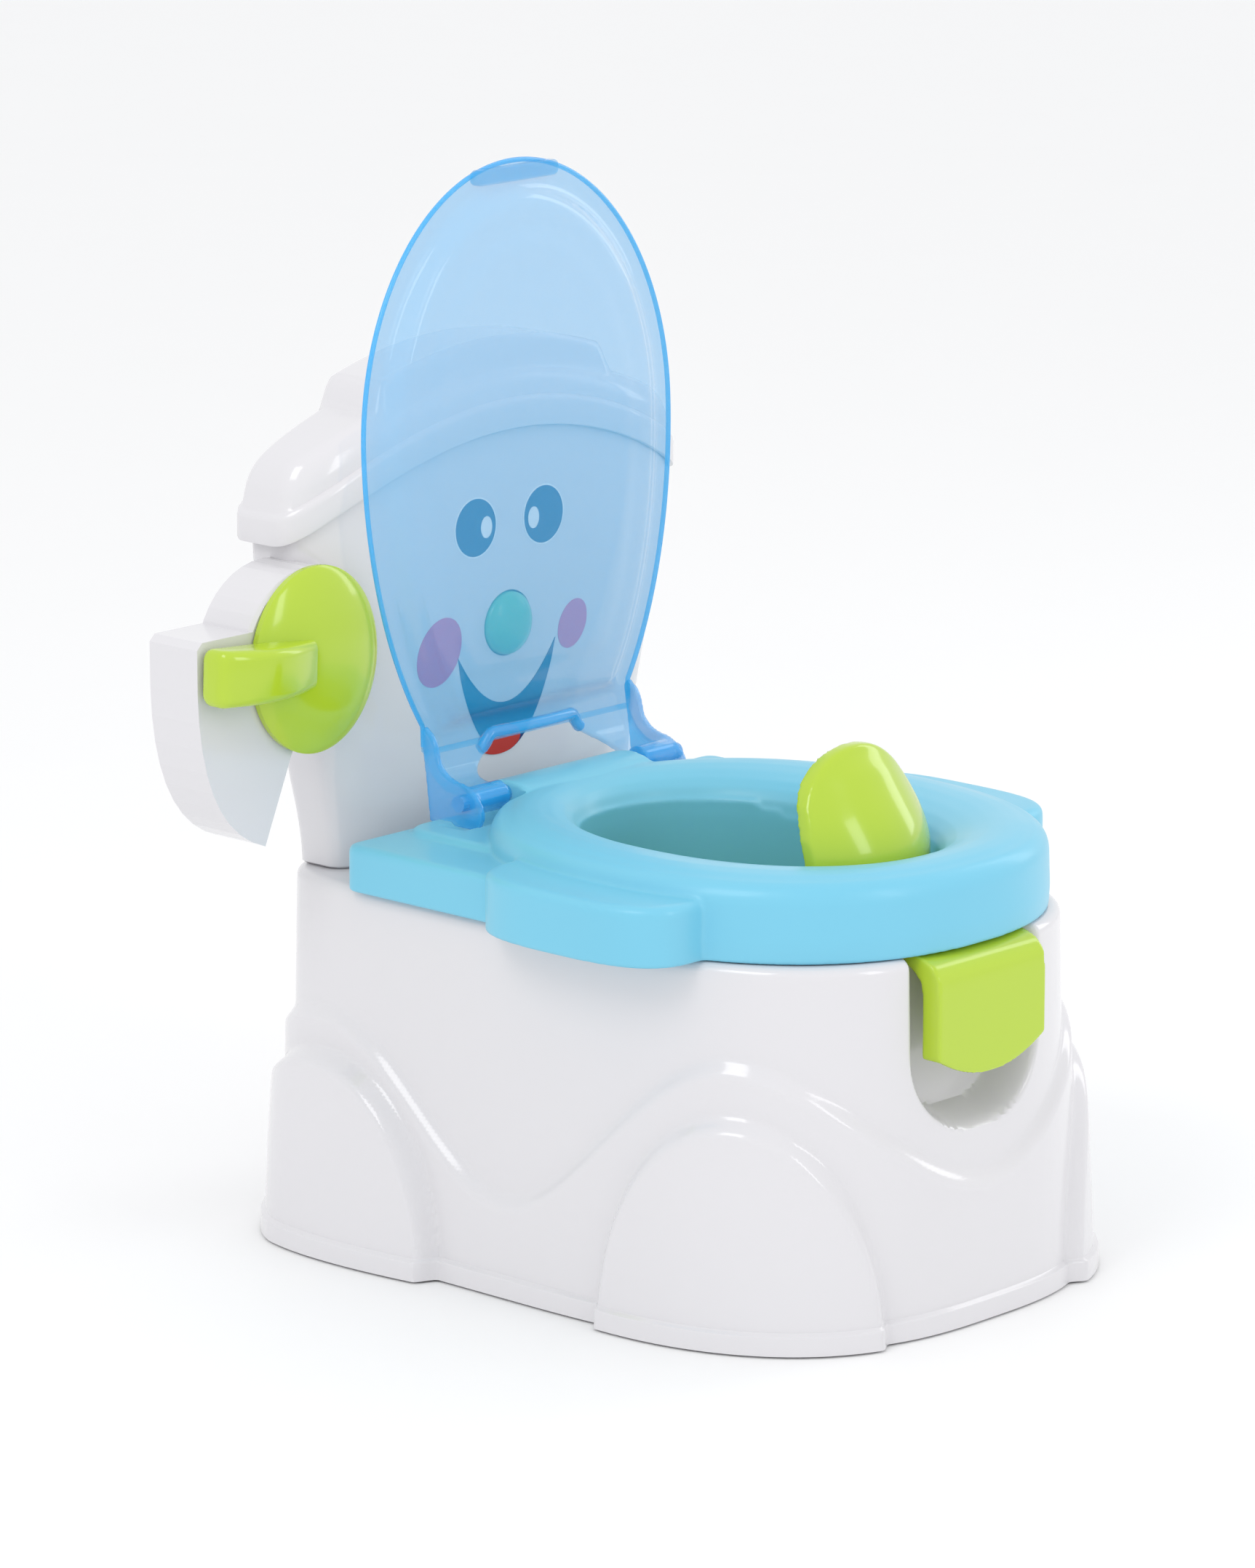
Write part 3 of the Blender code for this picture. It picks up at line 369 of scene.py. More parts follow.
def wave_height(at):
    """Height of the ledge, which swings between crests and dips on its way round."""
    result = np.full_like(at, SKIRT_WAVE[-1][1])
    for (u0, z0), (u1, z1) in reversed(list(zip(SKIRT_WAVE, SKIRT_WAVE[1:]))):
        result = np.where(at <= u1, z0 + (z1 - z0) * smooth((at - u0) / (u1 - u0)), result)
    return result


def foot_bulge(at, z, foot):
    """How far a foot stands out: a soft step at its arched edge, and a slight dome inside it."""
    where, half_length, height, bulge = foot
    reach = np.sqrt(((at - where) / half_length) ** 2 + (z / height) ** 2)
    return bulge * (0.62 * smooth((1 - reach) / 0.085) + 0.38 * np.clip(1 - reach ** 2, 0, 1))


def base_offset(at, z):
    """How far the base's side stands outside its top outline."""
    offset = BASE_DRAFT * (BASE_TOP - z)
    offset = offset + LEDGE_STEP * smooth((wave_height(at) - z) / LEDGE_RUN + 0.5)
    rear_ease = 1 - 0.45 * smooth((0.26 - at) / 0.06)
    rear_foot = rear_ease * foot_bulge(at, z, REAR_FOOT)
    offset = offset + np.maximum(rear_foot, foot_bulge(at, z, FRONT_FOOT))
    return offset + LIP_STEP * smooth((LIP_HEIGHT + 0.8 - z) / 1.6)


def scoop_depth(x, y, z):
    """Depth of the finger recess behind the bowl's handle, a U with soft edges."""
    radius = SCOOP_HALF_W * 0.86
    across = np.maximum(np.abs(x) - (SCOOP_HALF_W - radius), 0)
    below = max(SCOOP_BOTTOM + radius - z, 0)
    inside = radius - np.hypot(across, below)
    return np.where(y < 0, SCOOP_DEPTH * smooth((inside + 1.5) / 8.5), 0)


def build_base():
    """The base: one shell, from the floor up its outside, over its top and down its inside."""
    perimeter = 1010.0
    near = 60.0 / perimeter
    half = np.concatenate([np.linspace(0, 0.5 - near, 300, endpoint=False), np.linspace(0.5 - near, 0.5, 60)])
    shares = np.concatenate([half, (1 - half[1:-1])[::-1]])
    at = 1 - np.abs(1 - 2 * shares)
    plan, normals = superellipse(**BASE_PLAN, shares=shares)

    def wall(z, inward=0.0):
        points = plan + normals * (base_offset(at, z) - inward)[:, None]
        points = points - normals * scoop_depth(points[:, 0], points[:, 1], z)[:, None]
        return np.column_stack([points, np.full(len(points), z)])

    heights = np.concatenate([[BASE_LIFT, BASE_LIFT + 0.7], np.arange(3, 8, 2.5), np.arange(8.5, 12.6, 0.45),
                              np.arange(14, BASE_TOP - SHOULDER, 1.55)])
    rows = [wall(BASE_LIFT, 0.8)] + [wall(z) for z in heights]
    for turn in np.radians(np.arange(15, 91, 15)):
        rows.append(wall(BASE_TOP - SHOULDER, SHOULDER * (1 - math.cos(turn))))
        rows[-1][:, 2] = BASE_TOP - SHOULDER + SHOULDER * math.sin(turn)
    opening = superellipse(**OPENING, shares=shares)[0]
    rows.append(np.column_stack([opening, np.full(len(opening), BASE_TOP)]))
    rows.append(np.column_stack([opening, np.full(len(opening), BASE_TOP - WALL)]))
    inner_heights = np.concatenate([np.arange(BASE_TOP - WALL - 2, 12, -6.0), [11.2, 8.8, BASE_LIFT]])
    rows += [wall(z, WALL) for z in inner_heights]
    bm = skin(rows, wrap=True)
    finish_mesh("base_moulding", bm, LOOKS["white_plastic"], "stand", ["base_shell"])


# ---------------------------------------------------------------- bowl

def build_bowl():
    """The bowl, and the handle that hooks out of its rim over the finger recess."""
    top = BASE_TOP + GAP
    rim = [(4, top), (4.3, top + 1.3), (3.6, top + 2.6), (-4, top + 2.6), (-5.5, top + 1.8)]
    inside = [(-9, 150), (-11.6, 125), (-15, 100), (-19, 75), (-24, 58), (-32, 47.5), (-42, 44), (-60, 43.4)]
    under = [(-60, 40.4), (-42, 40.9), (-30.5, 44.5), (-21.5, 56), (-16, 75), (-12, 100), (-6, 150),
             (-2.5, top)]
    bowl = solid("bowl_pan", [ring(OPENING, z, -grow) for grow, z in rim + inside + under], wrap=True)
    bottom = solid("bottom", [ring(OPENING, 40.4, 57), ring(OPENING, 43.4, 57)])
    combine(bowl, bottom, "UNION")

    outer = curve([(-112.0, 164.9), (-121.0, 163.6), (-130.5, 161.2), (-136.0, 157.2), (-138.2, 150.0),
                   (HANDLE_FRONT, 128.0), (HANDLE_FRONT, 106.0)], 7)
    inner = curve([(-128.0, 106.0), (-128.0, 146.0), (-125.0, 154.0), (-119.0, 158.4),
                   (HANDLE_BACK, 160.6)], 5)
    handle = prism("handle", outer + inner, "X", -HANDLE_HALF_W, HANDLE_HALF_W, 24)
    hollow = curve([(-113.0, 160.8), (-124.0, 159.6), (-131.5, 156.2), (-134.9, 149.0), (-135.4, 128.0),
                    (-135.4, 98.0)], 5) + [(-116.0, 98.0), (-114.0, 150.0)]
    combine(handle, prism("hollow", hollow, "X", -31.6, 31.6), "DIFFERENCE")
    sweep = [(x, 109.0 + 10.5 * (x / HANDLE_HALF_W) ** 2) for x in np.linspace(-37, 37, 25)]
    combine(handle, prism("trim", sweep + [(37, 80), (-37, 80)], "Y", -150, -115), "DIFFERENCE")
    blend_mesh(handle, 0.8, 5)
    dress(handle, LOOKS["lime_plastic"], "pan")
    handle.name = "bowl_handle"
    dress(bowl, LOOKS["lime_plastic"], "pan", ["bowl"])


# ---------------------------------------------------------------- seat

def build_seat():
    """The seat: a crowned ring with two grips, joined to the deck and the hinge block behind it."""
    low = BASE_TOP + GAP
    outer = ring(RING_OUTER, 0, count=RING_COUNT)
    hole = ring(RING_HOLE, 0, count=RING_COUNT)

    def between(share, z):
        points = outer + (hole - outer) * share
        points[:, 2] = z
        return points

    shape = [(0.0, low), (-0.01, 172), (0.0, 187.0)]
    for turn in np.radians(np.arange(10, 91, 10)):
        shape.append((0.17 * (1 - math.cos(turn)), 187.0 + 10.5 * math.sin(turn)))
    shape += [(0.26, 198.8), (0.38, RING_TOP), (0.52, 199.2), (0.68, 197.6), (0.82, 195.0), (0.92, 191.6),
              (0.98, 187.6), (1.0, 182.0), (1.0, low + 2)]
    seat = solid("seat_ring", [between(*row) for row in shape], wrap=True)

    def slab(half, front, rear, bottom, top, radius):
        section = rounded((-half, front), (half, rear), radius, 8)
        edge = 3.0
        rings = [[(x, y, bottom) for x, y in section], [(x, y, top - edge) for x, y in section]]
        for turn in np.radians((30, 60, 90)):
            pull = edge * (1 - math.cos(turn))
            inner = rounded((-half + pull, front + pull), (half - pull, rear - pull), radius - pull, 8)
            rings.append([(x, y, top - edge + edge * math.sin(turn)) for x, y in inner])
        return rings

    combine(seat, solid("deck", slab(DECK_HALF_W, DECK_FRONT, DECK_REAR, low, DECK_TOP, 7.0)), "UNION")
    combine(seat, solid("deck_rise", slab(88.0, 40.0, 124.0, low, DECK_TOP + 3.0, 12.0)), "UNION")
    for side in (-1, 1):
        rings = [ring(GRIP_PLAN, low), ring(GRIP_PLAN, GRIP_TOP - 4)]
        for turn in np.radians((25, 50, 70, 90)):
            rings.append(ring(GRIP_PLAN, GRIP_TOP - 4 + 4 * math.sin(turn), 4 * (1 - math.cos(turn))))
        rings = [points + np.array([side * GRIP_X, 0, 0]) for points in rings]
        combine(seat, solid("grip", rings), "UNION")
    profile = curve([(88.0, 180.0), (92.0, 197.0), (98.0, 201.4), (108.0, 202.0), (116.0, 200.0),
                     (122.0, 195.5), (128.0, 191.0)], 5) + [(128.5, 180.0)]
    combine(seat, prism("block", profile, "X", 0.1 - WELL_IN, WELL_IN - 0.1), "UNION")
    through = [ring(RING_HOLE, z, 0.3, RING_COUNT) for z in (150, 215)]
    combine(seat, solid("through", through), "DIFFERENCE")
    under_plan = dict(RING_OUTER, half_width=106.0, front=-126.0, rear=102.0)
    combine(seat, solid("under", [ring(under_plan, 150), ring(under_plan, 170)]), "DIFFERENCE")
    spout_section = ((181, 0.4), (181, -2.6), (153, -2.4), (153, 0.4))
    spout = [ring(RING_HOLE, z, inward, RING_COUNT) for z, inward in spout_section]
    combine(seat, solid("spout", spout, wrap=True), "UNION")
    blend_mesh(seat, 1.0, 6)
    for side in (-1, 1):
        reach = sorted((side * WELL_IN, side * WELL_OUT))
        well = prism("well", arc((HINGE_Y, HINGE_Z), WELL_R, 0, 352.5, 48), "X", *reach)
        combine(seat, well, "DIFFERENCE")
    dress(seat, LOOKS["sky_plastic"], "seat", ["seat"], sharp=50)


def build_guard():
    """The splash guard: a curved shield that leans back over the front of the hole."""
    columns, levels, shoulder_z = 30, 34, 203.0
    bm = bmesh.new()
    sheets = []
    for back in (False, True):
        sheet = []
        for k in range(levels + 1):
            row = []
            for c in range(columns + 1):
                across = -1 + 2 * c / columns
                crown = math.sqrt(max(1 - abs(across) ** 2.1, 0.0))
                z = GUARD_FOOT + (shoulder_z + (GUARD_TOP - shoulder_z) * crown - GUARD_FOOT) * k / levels
                width = GUARD_HALF_W + 3.0 * float(smooth((GUARD_TOP - z) / 45.0))
                lean = 25.3 * float(smooth((z - 190.0) / 58.0))
                bulge = 2.4 * (1 - across ** 2) * float(smooth((z - GUARD_FOOT) / 20))
                bulge *= float(smooth((GUARD_TOP - z) / 12))
                y = -85.2 + lean + 14.0 * across ** 2 + (GUARD_THICK if back else -bulge)
                row.append(bm.verts.new((across * width, y, z)))
            sheet.append(row)
        sheets.append(sheet)
    front, rear = sheets
    for k in range(levels):
        for c in range(columns):
            bm.faces.new((front[k][c], front[k][c + 1], front[k + 1][c + 1], front[k + 1][c]))
            bm.faces.new((rear[k][c + 1], rear[k][c], rear[k + 1][c], rear[k + 1][c + 1]))
        for c in (0, columns):
            bm.faces.new((front[k][c], rear[k][c], rear[k + 1][c], front[k + 1][c]))
    for k in (0, levels):
        for c in range(columns):
            bm.faces.new((front[k][c], front[k][c + 1], rear[k][c + 1], rear[k][c]))
    look = LOOKS["lime_plastic"]
    guard = finish_mesh("splash_shield", bm, look, "seat", ["splash_guard"])
    blend_mesh(guard, 0.8, 26)
    guard.data.shade_smooth()


# ---------------------------------------------------------------- lid

def lid_outline(inset, count=200):
    """The lid's egg-shaped front view, cut flat at its foot, where its sides run straight into the legs."""
    turn = np.linspace(0, 2 * math.pi, 4001)
    across, up = np.sin(turn), np.cos(turn)
    reach = np.where(up > 0, LID_TOP - LID_WAIST, LID_LOWER_REACH)
    x = (LID_HALF_W - inset) * across
    z = np.maximum(LID_WAIST + (reach - inset) * up, LID_FOOT + inset)
    low = (up < -0.3) & (z > LID_FOOT + inset + 0.01)
    x = np.where(low, np.sign(across) * np.maximum(np.abs(x), CHEEK_OUT - inset), x)
    foot = (up < -0.3) & ~low
    x = np.where(foot, x * (CHEEK_OUT - inset) / np.abs(x[foot]).max(), x)
    run = np.concatenate([[0], np.cumsum(np.hypot(np.diff(x), np.diff(z)))])
    at = np.arange(count) / count * run[-1]
    return np.interp(at, run, x), np.interp(at, run, z)


def lid_layer(inset, forward, count=200):
    """The lid's outline, drawn in by an inset and stepped forward, in the plane that it leans in."""
    x, z = lid_outline(inset, count)
    return np.column_stack([x, LID_Y + (z - LID_FOOT) * math.tan(LID_LEAN) - forward, z])


def leg_web(side):
    """The curved sheet that carries each leg from the lid's slot forward to the hinge."""
    bend = curve([(131.3, 216.0), (130.0, 212.0), (126.3, 206.0), (119.5, 201.2), (111.0, 199.6),
                  (104.0, 199.4)], 4)
    slope = np.gradient(bend, axis=0)
    normals = np.column_stack([-slope[:, 1], slope[:, 0]]) / np.hypot(*slope.T)[:, None]
    sheet = []
    for (y, z), normal in zip(bend, normals * LID_THICK / 2):
        inner = side * (SLOT_HALF_W + 15.5 * float(smooth((213.5 - z) / 13.0)))
        outer = side * (CHEEK_OUT - 1.5)
        near, far = (y + normal[0], z + normal[1]), (y - normal[0], z - normal[1])
        sheet.append([(inner, *near), (outer, *near), (outer, *far), (inner, *far)])
    return solid("web", sheet)


def leg_cheek(side):
    """The plate down the outside of each leg, with the hinge's barrel on its inner face."""
    front = curve([(LID_Y - 1.0, 227.0), (124.5, 221.0), (121.3, 211.0), (115.0, 206.0), (106.0, 203.8),
                   (98.8, 199.0), (95.6, 191.5), (98.5, 185.1)], 5)
    profile = [(127.2, 185.1), (129.6, 205.0), (LID_Y + 1.2, 224.0)] + front
    cheek = prism("cheek", profile, "X", side * CHEEK_OUT, side * CHEEK_IN)
    round_section = arc((HINGE_Y, HINGE_Z), BARREL_R, 0, 345, 24)
    barrel = prism("barrel", round_section, "X", side * (CHEEK_OUT - 1.0), side * BARREL_IN)
    return combine(cheek, barrel, "UNION")


def let_light_through(made):
    """Keeps a clear piece from darkening what is behind it."""
    made.visible_shadow = False
    made.visible_diffuse = False


def bead(name, path, radius, look):
    """A round bead of the lid's plastic along an open path."""
    holder = bpy.data.curves.new(name, "CURVE")
    holder.dimensions = "3D"
    holder.bevel_depth = radius * MM
    holder.bevel_resolution = 4
    holder.use_fill_caps = True
    line = holder.splines.new("POLY")
    line.points.add(len(path) - 1)
    for knot, point in zip(line.points, path):
        knot.co = (*((Vector(point) + SHIFT) * MM), 1)
    rope = bpy.data.objects.new(name + "_line", holder)
    bpy.context.scene.collection.objects.link(rope)
    view = bpy.context.evaluated_depsgraph_get()
    mesh = bpy.data.meshes.new_from_object(rope.evaluated_get(view))
    bpy.data.objects.remove(rope)
    made = bpy.data.objects.new(name, mesh)
    bpy.context.scene.collection.objects.link(made)
    let_light_through(made)
    return dress(made, look, "lid")


def build_lid():
    """The clear lid: a shell with a raised middle, its legs, a bead round its edge, a slot lip and a tab."""
    clear = LOOKS["clear_blue_plastic"]
    half = LID_THICK / 2
    line = curve([(0.6, 0.2), (3.0, 0.3), (RIM_BAND - 4, 0.2), (RIM_BAND, 1.6),
                  (RIM_BAND + 5, PANEL_STEP - 1.2), (RIM_BAND + 10, PANEL_STEP), (30.0, PANEL_STEP + 0.5),
                  (37.0, PANEL_STEP + 1.5), (46.0, PANEL_STEP + 1.6), (62.0, PANEL_STEP + 1.8)], 4)
    front = [lid_layer(inset, forward + half) for inset, forward in reversed(line)]
    back = [lid_layer(inset, forward - half) for inset, forward in line]
    lid = solid("lid_shell", front + back)
    dress(lid, clear, "lid", ["lid"], sharp=35)
    let_light_through(lid)
    for side, name in ((-1, "right"), (1, "left")):
        for kind, make, look in (("cheek", leg_cheek, LEG_LOOK), ("web", leg_web, clear)):
            made = blend_mesh(make(side), 0.7, 3)
            made.name = f"lid_{kind}_{name}"
            dress(made, look, "lid", sharp=35)
            let_light_through(made)

    edge = lid_layer(0.8, 0.2, 400)
    foot_middle = int(np.argmin(edge[:, 2] + np.abs(edge[:, 0]) * 1e-3))
    edge = [p for p in np.roll(edge, -foot_middle, axis=0) if p[2] > LID_FOOT + 4.0]
    bead("lid_rim", edge, EDGE_R, RIM_LOOK)
    lip = []
    for x in np.linspace(-SLOT_LIP_HALF_W, SLOT_LIP_HALF_W, 45):
        y = LID_Y - 4.5 + 3.0 * abs(x / SLOT_LIP_HALF_W) ** 3
        lip.append((x, y, LID_FOOT + 5.0 - 7.0 * smooth((abs(x) - 25.0) / 7.0)))
    bead("lid_slot_lip", lip, SLOT_LIP_R, LEG_LOOK)
    tab = prism("lid_tab", rounded((-26, 458.5), (26, 465.5), 3.0), "Y", LID_Y + 4.0, LID_Y + 9.0)
    dress(tab, clear, "lid")
    round_edges(tab, 1.0)


# ---------------------------------------------------------------- tank

def tank_plan(z, inward=0.0):
    """The tank's plan outline at a height: it widens as it rises, and its face comes forward."""
    rise = float(smooth((z - 165.0) / 150.0))
    rear = 181.0 + 4.4 * float(smooth((z - 163.0) / 45.0))
    return dict(half_width=95.0 + 25.0 * rise - inward, front=146.5 - 5.0 * rise + inward, rear=rear - inward,
                middle=TANK_MIDDLE, power=2.8, rear_power=12.0)


def tank_front(x, z):
    """Where the tank's front face is at a point of its front view."""
    plan = tank_plan(z)
    bow = (1 - np.abs(x / plan["half_width"]) ** plan["power"]) ** (1 / plan["power"])
    return plan["middle"] - (plan["middle"] - plan["front"]) * bow


def arched(points, top, drop):
    """Lifts an outline onto the arch that the tank's top and its cover share."""
    result = points.copy()
    result[:, 2] = top - drop * (points[:, 0] / COVER_PLAN["half_width"]) ** 2
    return result


def build_tank():
    """The tank: a shell with an arched top, a hole for the nose, and a doorway and grille at the rear."""

    def row(z, inward=0.0):
        return ring(tank_plan(z, inward), z, count=240)

    rows = [row(TANK_FOOT_Z, 1.2)] + [row(z) for z in np.linspace(TANK_FOOT_Z + 1.0, 300, 40)]
    rows += [arched(row(330), 330, 18), arched(row(330), 354.0, 36.0), arched(row(330, WALL), 354.0, 36.0)]
    rows += [row(300, WALL)] + [row(z, WALL) for z in np.linspace(285, TANK_FOOT_Z + WALL, 12)]
    tank = solid("tank_moulding", rows)
    hole = prism("nose_hole", arc((0, NOSE_Z), NOSE_R + 0.6, 0, 354, 60), "Y", 130, 160)
    combine(tank, hole, "DIFFERENCE")
    combine(tank, prism("doorway", rounded((-33, 239), (33, 285), 2.0), "Y", 178, 192), "DIFFERENCE")
    for step in range(5):
        z = 250.0 + 6.0 * step
        combine(tank, prism("grille", rounded((50, z), (74, z + 2.6), 1.2, 5), "Y", 178, 192), "DIFFERENCE")
    dress(tank, LOOKS["white_plastic"], "stand", ["tank_body"])


def cover_surface(points, share):
    """The cover's top: a soft-edged crown with a raised middle tier."""
    x, y = points[:, 0], points[:, 1]
    fall = (x / COVER_PLAN["half_width"]) ** 2
    edge = COVER_EDGE + RIM_HEIGHT - COVER_DROP * fall
    crown = COVER_EDGE + CROWN_RISE - CROWN_DROP * fall
    lift = np.sqrt(np.clip(1 - (1 - min(share * 2.3, 1.0)) ** 2.2, 0, 1))
    tier = smooth((HUMP_HALF_W - np.abs(x)) / 8.0) * smooth((y - 146.0) / 7.0) * smooth((189.0 - y) / 4.0)
    result = points.copy()
    result[:, 2] = edge + (crown - edge) * lift + HUMP_RISE * tier * (1 - 0.12 * (x / HUMP_HALF_W) ** 2)
    return result


def build_cover():
    """The tank's cover: a straight rim under a soft crown, hollow inside."""
    count = 320
    rim = ring(COVER_PLAN, 0, count=count)

    def level(share, inward=0.0):
        points = ring(COVER_PLAN, 0, inward, count)
        middle = np.column_stack([np.clip(rim[:, 0], -98, 98), np.full(count, 167.0), np.zeros(count)])
        return points + (middle - points) * share

    def band(inward, lift):
        return arched(ring(COVER_PLAN, 0, inward, count), COVER_EDGE + lift, COVER_DROP)

    outside = [band(0.9, 0.0), band(0.2, 0.4), band(0.0, 1.2), band(0.0, RIM_HEIGHT - 3.2),
               band(0.3, RIM_HEIGHT - 1.6), band(1.3, RIM_HEIGHT - 0.6), band(2.2, RIM_HEIGHT - 0.1)]
    shares = np.concatenate([np.linspace(0.105, 0.45, 16), np.linspace(0.5, 0.97, 12)])
    outside += [cover_surface(level(share), share - 0.09) for share in shares]
    inside = [band(2.4, 0.0), band(2.4, RIM_HEIGHT - 4.0)]
    for share in (0.3, 0.6, 0.97):
        inside.append(cover_surface(level(share), share - 0.09) - np.array([0, 0, WALL]))
    rings = outside[::-1] + inside
    bm = strip_ends(skin(rings, ends=False), rings)
    finish_mesh("tank_lid_moulding", bm, LOOKS["white_plastic"], "stand", ["tank_cover"])


def decal(name, boundary, look, lift, rings=5):
    """A printed patch: an outline in the front view, filled in rings and laid on the tank's face."""
    boundary = np.array(boundary)
    centre = boundary.mean(axis=0)
    rows = []
    for share in np.linspace(1, 0.04, rings):
        flat = centre + (boundary - centre) * share
        y = np.array([tank_front(x, z) for x, z in flat])
        rows.append(np.column_stack([flat[:, 0], y - lift, flat[:, 1]]))
    y = np.array([tank_front(x, z) for x, z in boundary])
    rows.insert(0, np.column_stack([boundary[:, 0], y + 0.2, boundary[:, 1]]))
    finish_mesh(name, skin(rows), look, "stand")


def oval(cx, cz, a, b, tilt=0.0, count=48):
    """An ellipse with half axes a and b, turned by a tilt in degrees."""
    turn = np.linspace(0, 2 * math.pi, count, endpoint=False)
    x, z = a * np.cos(turn), b * np.sin(turn)
    c, s = math.cos(math.radians(tilt)), math.sin(math.radians(tilt))
    return np.column_stack([cx + x * c - z * s, cz + x * s + z * c])


def build_face():
    """The face: eyes, cheeks, a smile and a tongue, all printed."""
    for side, name in ((-1, "right"), (1, "left")):
        x = side * EYE_X
        decal(f"eye_rim_{name}", oval(x, EYE_Z, EYE_A + 0.7, EYE_B + 0.7), PRINT_WHITE, 0.16)
        decal(f"eye_{name}", oval(x, EYE_Z, EYE_A, EYE_B), NAVY, 0.26)
        decal(f"eye_glint_{name}", oval(side * (EYE_X - 6.6), EYE_Z - 0.6, 3.5, 4.9), PRINT_WHITE, 0.36)
        size = 1.0 if side < 0 else LEFT_CHEEK_SIZE
        cheek = oval(side * CHEEK_X, CHEEK_Z, CHEEK_A * size, CHEEK_B * size, CHEEK_TILT)
        decal(f"cheek_{name}", cheek, PINK, 0.22)

    across = np.linspace(-MOUTH_HALF_W, MOUTH_HALF_W, 31)
    share = 1 - (across / MOUTH_HALF_W) ** 2
    upper = MOUTH_CORNER_Z - UPPER_LIP_DROP * share
    lower = np.where(share > 0, MOUTH_CORNER_Z - 0.5 - LOWER_LIP_DROP * np.maximum(share, 0) ** 0.8, upper)
    bm = bmesh.new()
    for i in range(len(across) - 1):
        corners = ((i, upper), (i + 1, upper), (i + 1, lower), (i, lower))
        points = [(across[at], lip[at]) for at, lip in corners]
        bm.faces.new([bm.verts.new((x, float(tank_front(x, z)) - 0.3, z)) for x, z in points])
    bmesh.ops.remove_doubles(bm, verts=bm.verts, dist=0.001)
    depth = bmesh.ops.extrude_face_region(bm, geom=list(bm.faces))
    moved = [v for v in depth["geom"] if isinstance(v, bmesh.types.BMVert)]
    bmesh.ops.translate(bm, vec=(0, 0.4, 0), verts=moved)
    finish_mesh("mouth", bm, NAVY, "stand")
    decal("tongue", oval(-3.5, 208.5, 13.5, 6.8), RED, 0.42)


# ---------------------------------------------------------------- flush handle and nose

def turned(name, profile, centre, count=96):
    """A solid of revolution about an axis that runs front to rear, from (radius, y) pairs."""
    rings = []
    for radius, y in profile:
        rings.append([(x, y, z) for x, z in arc(centre, radius, 0, 360 - 360 / count, count)])
    return solid(name, rings)


def build_flush():
    """The flush handle's domed dial and its lever, with softer edges on the housing behind them."""
    back = DIAL_Y - GAP
    profile = [(DIAL_R - 1.2, back), (DIAL_R - 0.2, back - 0.5), (DIAL_R, back - 1.4),
               (DIAL_R - 0.2, back - 2.6)]
    for turn in np.radians(np.arange(4, 90, 5)):
        profile.append((DIAL_R * math.cos(turn) ** 0.9, back - 3.0 - DIAL_DOME * math.sin(turn) ** 1.5))
    dial = turned("flush_button", profile, (DIAL_X, DIAL_Z))
    centre = Matrix.Translation((Vector((DIAL_X, 0, DIAL_Z)) + SHIFT) * MM)
    dial.data.transform(centre @ Matrix.Diagonal((*DIAL_SQUASH, 1.0)) @ centre.inverted())
    dress(dial, LOOKS["lime_plastic"], "flush", ["flush_dial"])

    tip, root = DIAL_X - LEVER_REACH, DIAL_X - 9.0
    rings = []
    for share in np.concatenate([[0, 0.008, 0.025, 0.05], np.linspace(0.1, 1, 19)]):
        x = tip + (root - tip) * share
        shrink = 3.6 * (1 - math.sqrt(1 - (1 - min(share / 0.05, 1)) ** 2))
        height = LEVER_HALF_H - 1.6 * share - shrink
        front = 129.0 - 9.0 * math.sin(math.pi * min(share * 0.9 + 0.08, 1)) + shrink
        radius = max(4.2 - 0.4 * shrink, 1.0)
        section = rounded((front, -height), (139.8 - shrink * 0.5, height), min(radius, height * 0.9), 7)
        rings.append([(x, y, DIAL_Z + z) for y, z in section])
    lever = skin(rings)
    tilt = Matrix.Rotation(LEVER_TILT, 4, "Y")
    bmesh.ops.rotate(lever, cent=(DIAL_X, 0, DIAL_Z), matrix=tilt, verts=lever.verts)
    finish_mesh("flush_paddle", lever, LOOKS["lime_plastic"], "flush", ["flush_lever"])
    round_edges(NODES["handle_housing"], 1.1, 3, 40)


def build_nose():
    """The nose: a domed cap with a flange and a stem inside the tank."""
    profile = []
    for turn in np.radians(np.arange(6, 86, 8)):
        profile.append((NOSE_R * math.sin(turn), NOSE_Y + 4.2 - 5.8 * math.cos(turn)))
    profile += [(NOSE_R, NOSE_Y + 5.0), (NOSE_R, 147.4), (18.0, 147.6), (18.0, 149.4), (3.4, 149.5),
                (3.4, 152.2)]
    nose = turned("nose_cap", profile, (0.0, NOSE_Z), 64)
    dress(nose, LOOKS["green_plastic"], "nose", ["nose_button"])


# ---------------------------------------------------------------- carried-over nodes

def dress_cad_nodes():
    """Gives each CAD node its slot's look. The lid's pins take the look of the legs that they belong to."""
    slots = {entry["node"]: entry["material_slot"] for entry in frame["record"]["subparts"]}
    for name, node in NODES.items():
        look = LEG_LOOK if name.startswith("lid_pin") else LOOKS[slots[name]]
        if node.material_slots:
            for index in range(len(node.material_slots)):
                node.material_slots[index].material = look
        else:
            node.data.materials.append(look)


# ---------------------------------------------------------------- stage

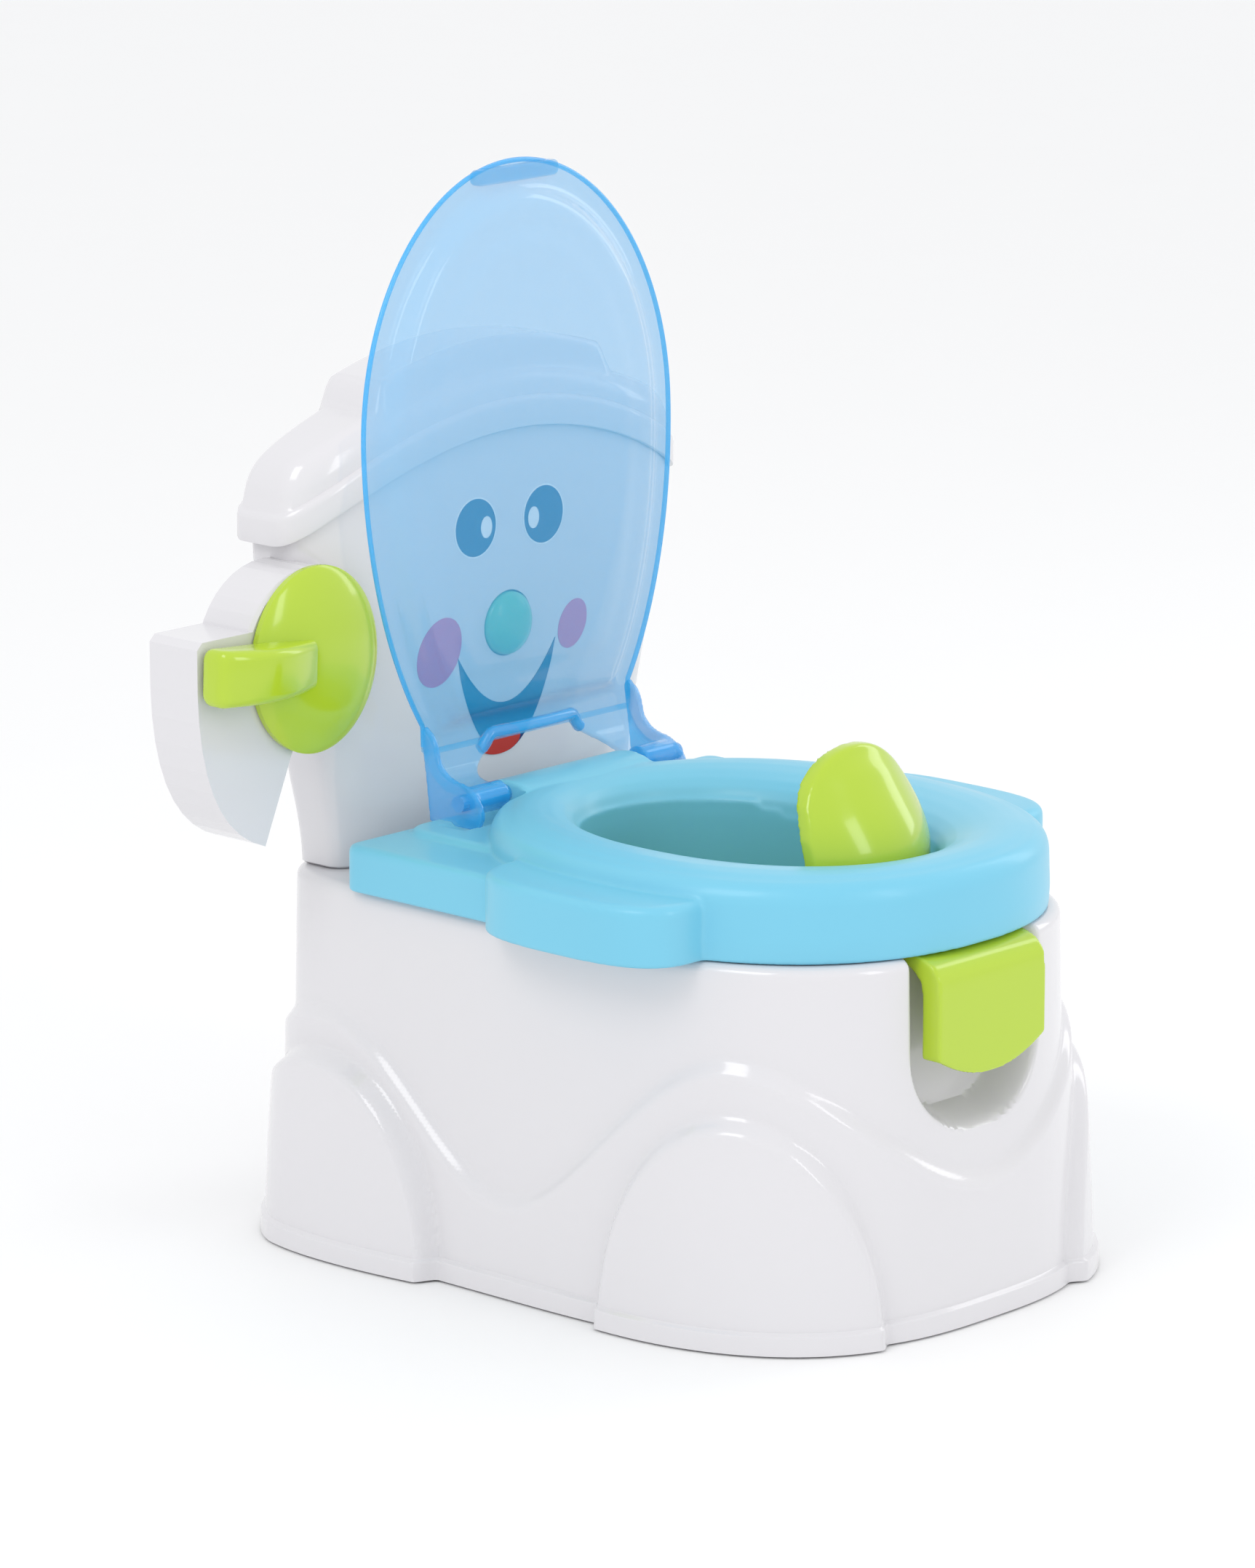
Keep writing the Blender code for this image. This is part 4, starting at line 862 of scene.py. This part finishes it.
def softbox(name, place, size, power):
    """A rectangular lamp that faces the middle of the chair."""
    lamp = bpy.data.lights.new(name, "AREA")
    lamp.shape = "RECTANGLE"
    lamp.size, lamp.size_y = size
    lamp.energy = power
    made = bpy.data.objects.new(name, lamp)
    made.location = place
    made.rotation_euler = (Vector(LAMP_AIM) - Vector(place)).to_track_quat("-Z", "Y").to_euler()
    bpy.context.scene.collection.objects.link(made)


def build_stage():
    """A white floor under a white sky, three soft lamps and the camera."""
    floor_look = plastic("studio_floor", (0.93, 0.93, 0.93), 0.6, bump=0.0, speckle=0.004)
    bm = bmesh.new()
    corners = ((-1, -1), (1, -1), (1, 1), (-1, 1))
    bm.faces.new([bm.verts.new((x * FLOOR_REACH, y * FLOOR_REACH, 0)) for x, y in corners])
    mesh = bpy.data.meshes.new("floor")
    bm.to_mesh(mesh)
    bm.free()
    floor = bpy.data.objects.new("floor", mesh)
    floor.data.materials.append(floor_look)
    bpy.context.scene.collection.objects.link(floor)

    bpy.context.scene.view_settings.view_transform = "Standard"
    world = bpy.data.worlds.new("studio")
    world.use_nodes = True
    backdrop = world.node_tree.nodes["Background"]
    backdrop.inputs["Color"].default_value = (0.985, 0.99, 1.0, 1)
    backdrop.inputs["Strength"].default_value = 1.0
    bpy.context.scene.world = world

    softbox("key", (-1.3, -0.2, 1.5), (0.7, 0.7), 5.5)
    softbox("front", (0.1, -1.7, 1.0), (0.35, 0.9), 3.0)
    softbox("side", (1.5, -0.4, 0.9), (0.4, 1.1), 2.5)

    camera = bpy.data.cameras.new("camera")
    camera.lens = CAMERA_LENS
    camera.sensor_width = 36.0
    camera.clip_end = 50.0
    made = bpy.data.objects.new("camera", camera)
    made.location = (CAMERA_PLACE + SHIFT) * MM
    made.rotation_euler = CAMERA_AIM.to_track_quat("-Z", "Y").to_euler()
    bpy.context.scene.collection.objects.link(made)
    bpy.context.scene.camera = made


dress_cad_nodes()
build_base()
build_bowl()
build_seat()
build_guard()
build_lid()
build_tank()
build_cover()
build_face()
build_flush()
build_nose()
build_stage()
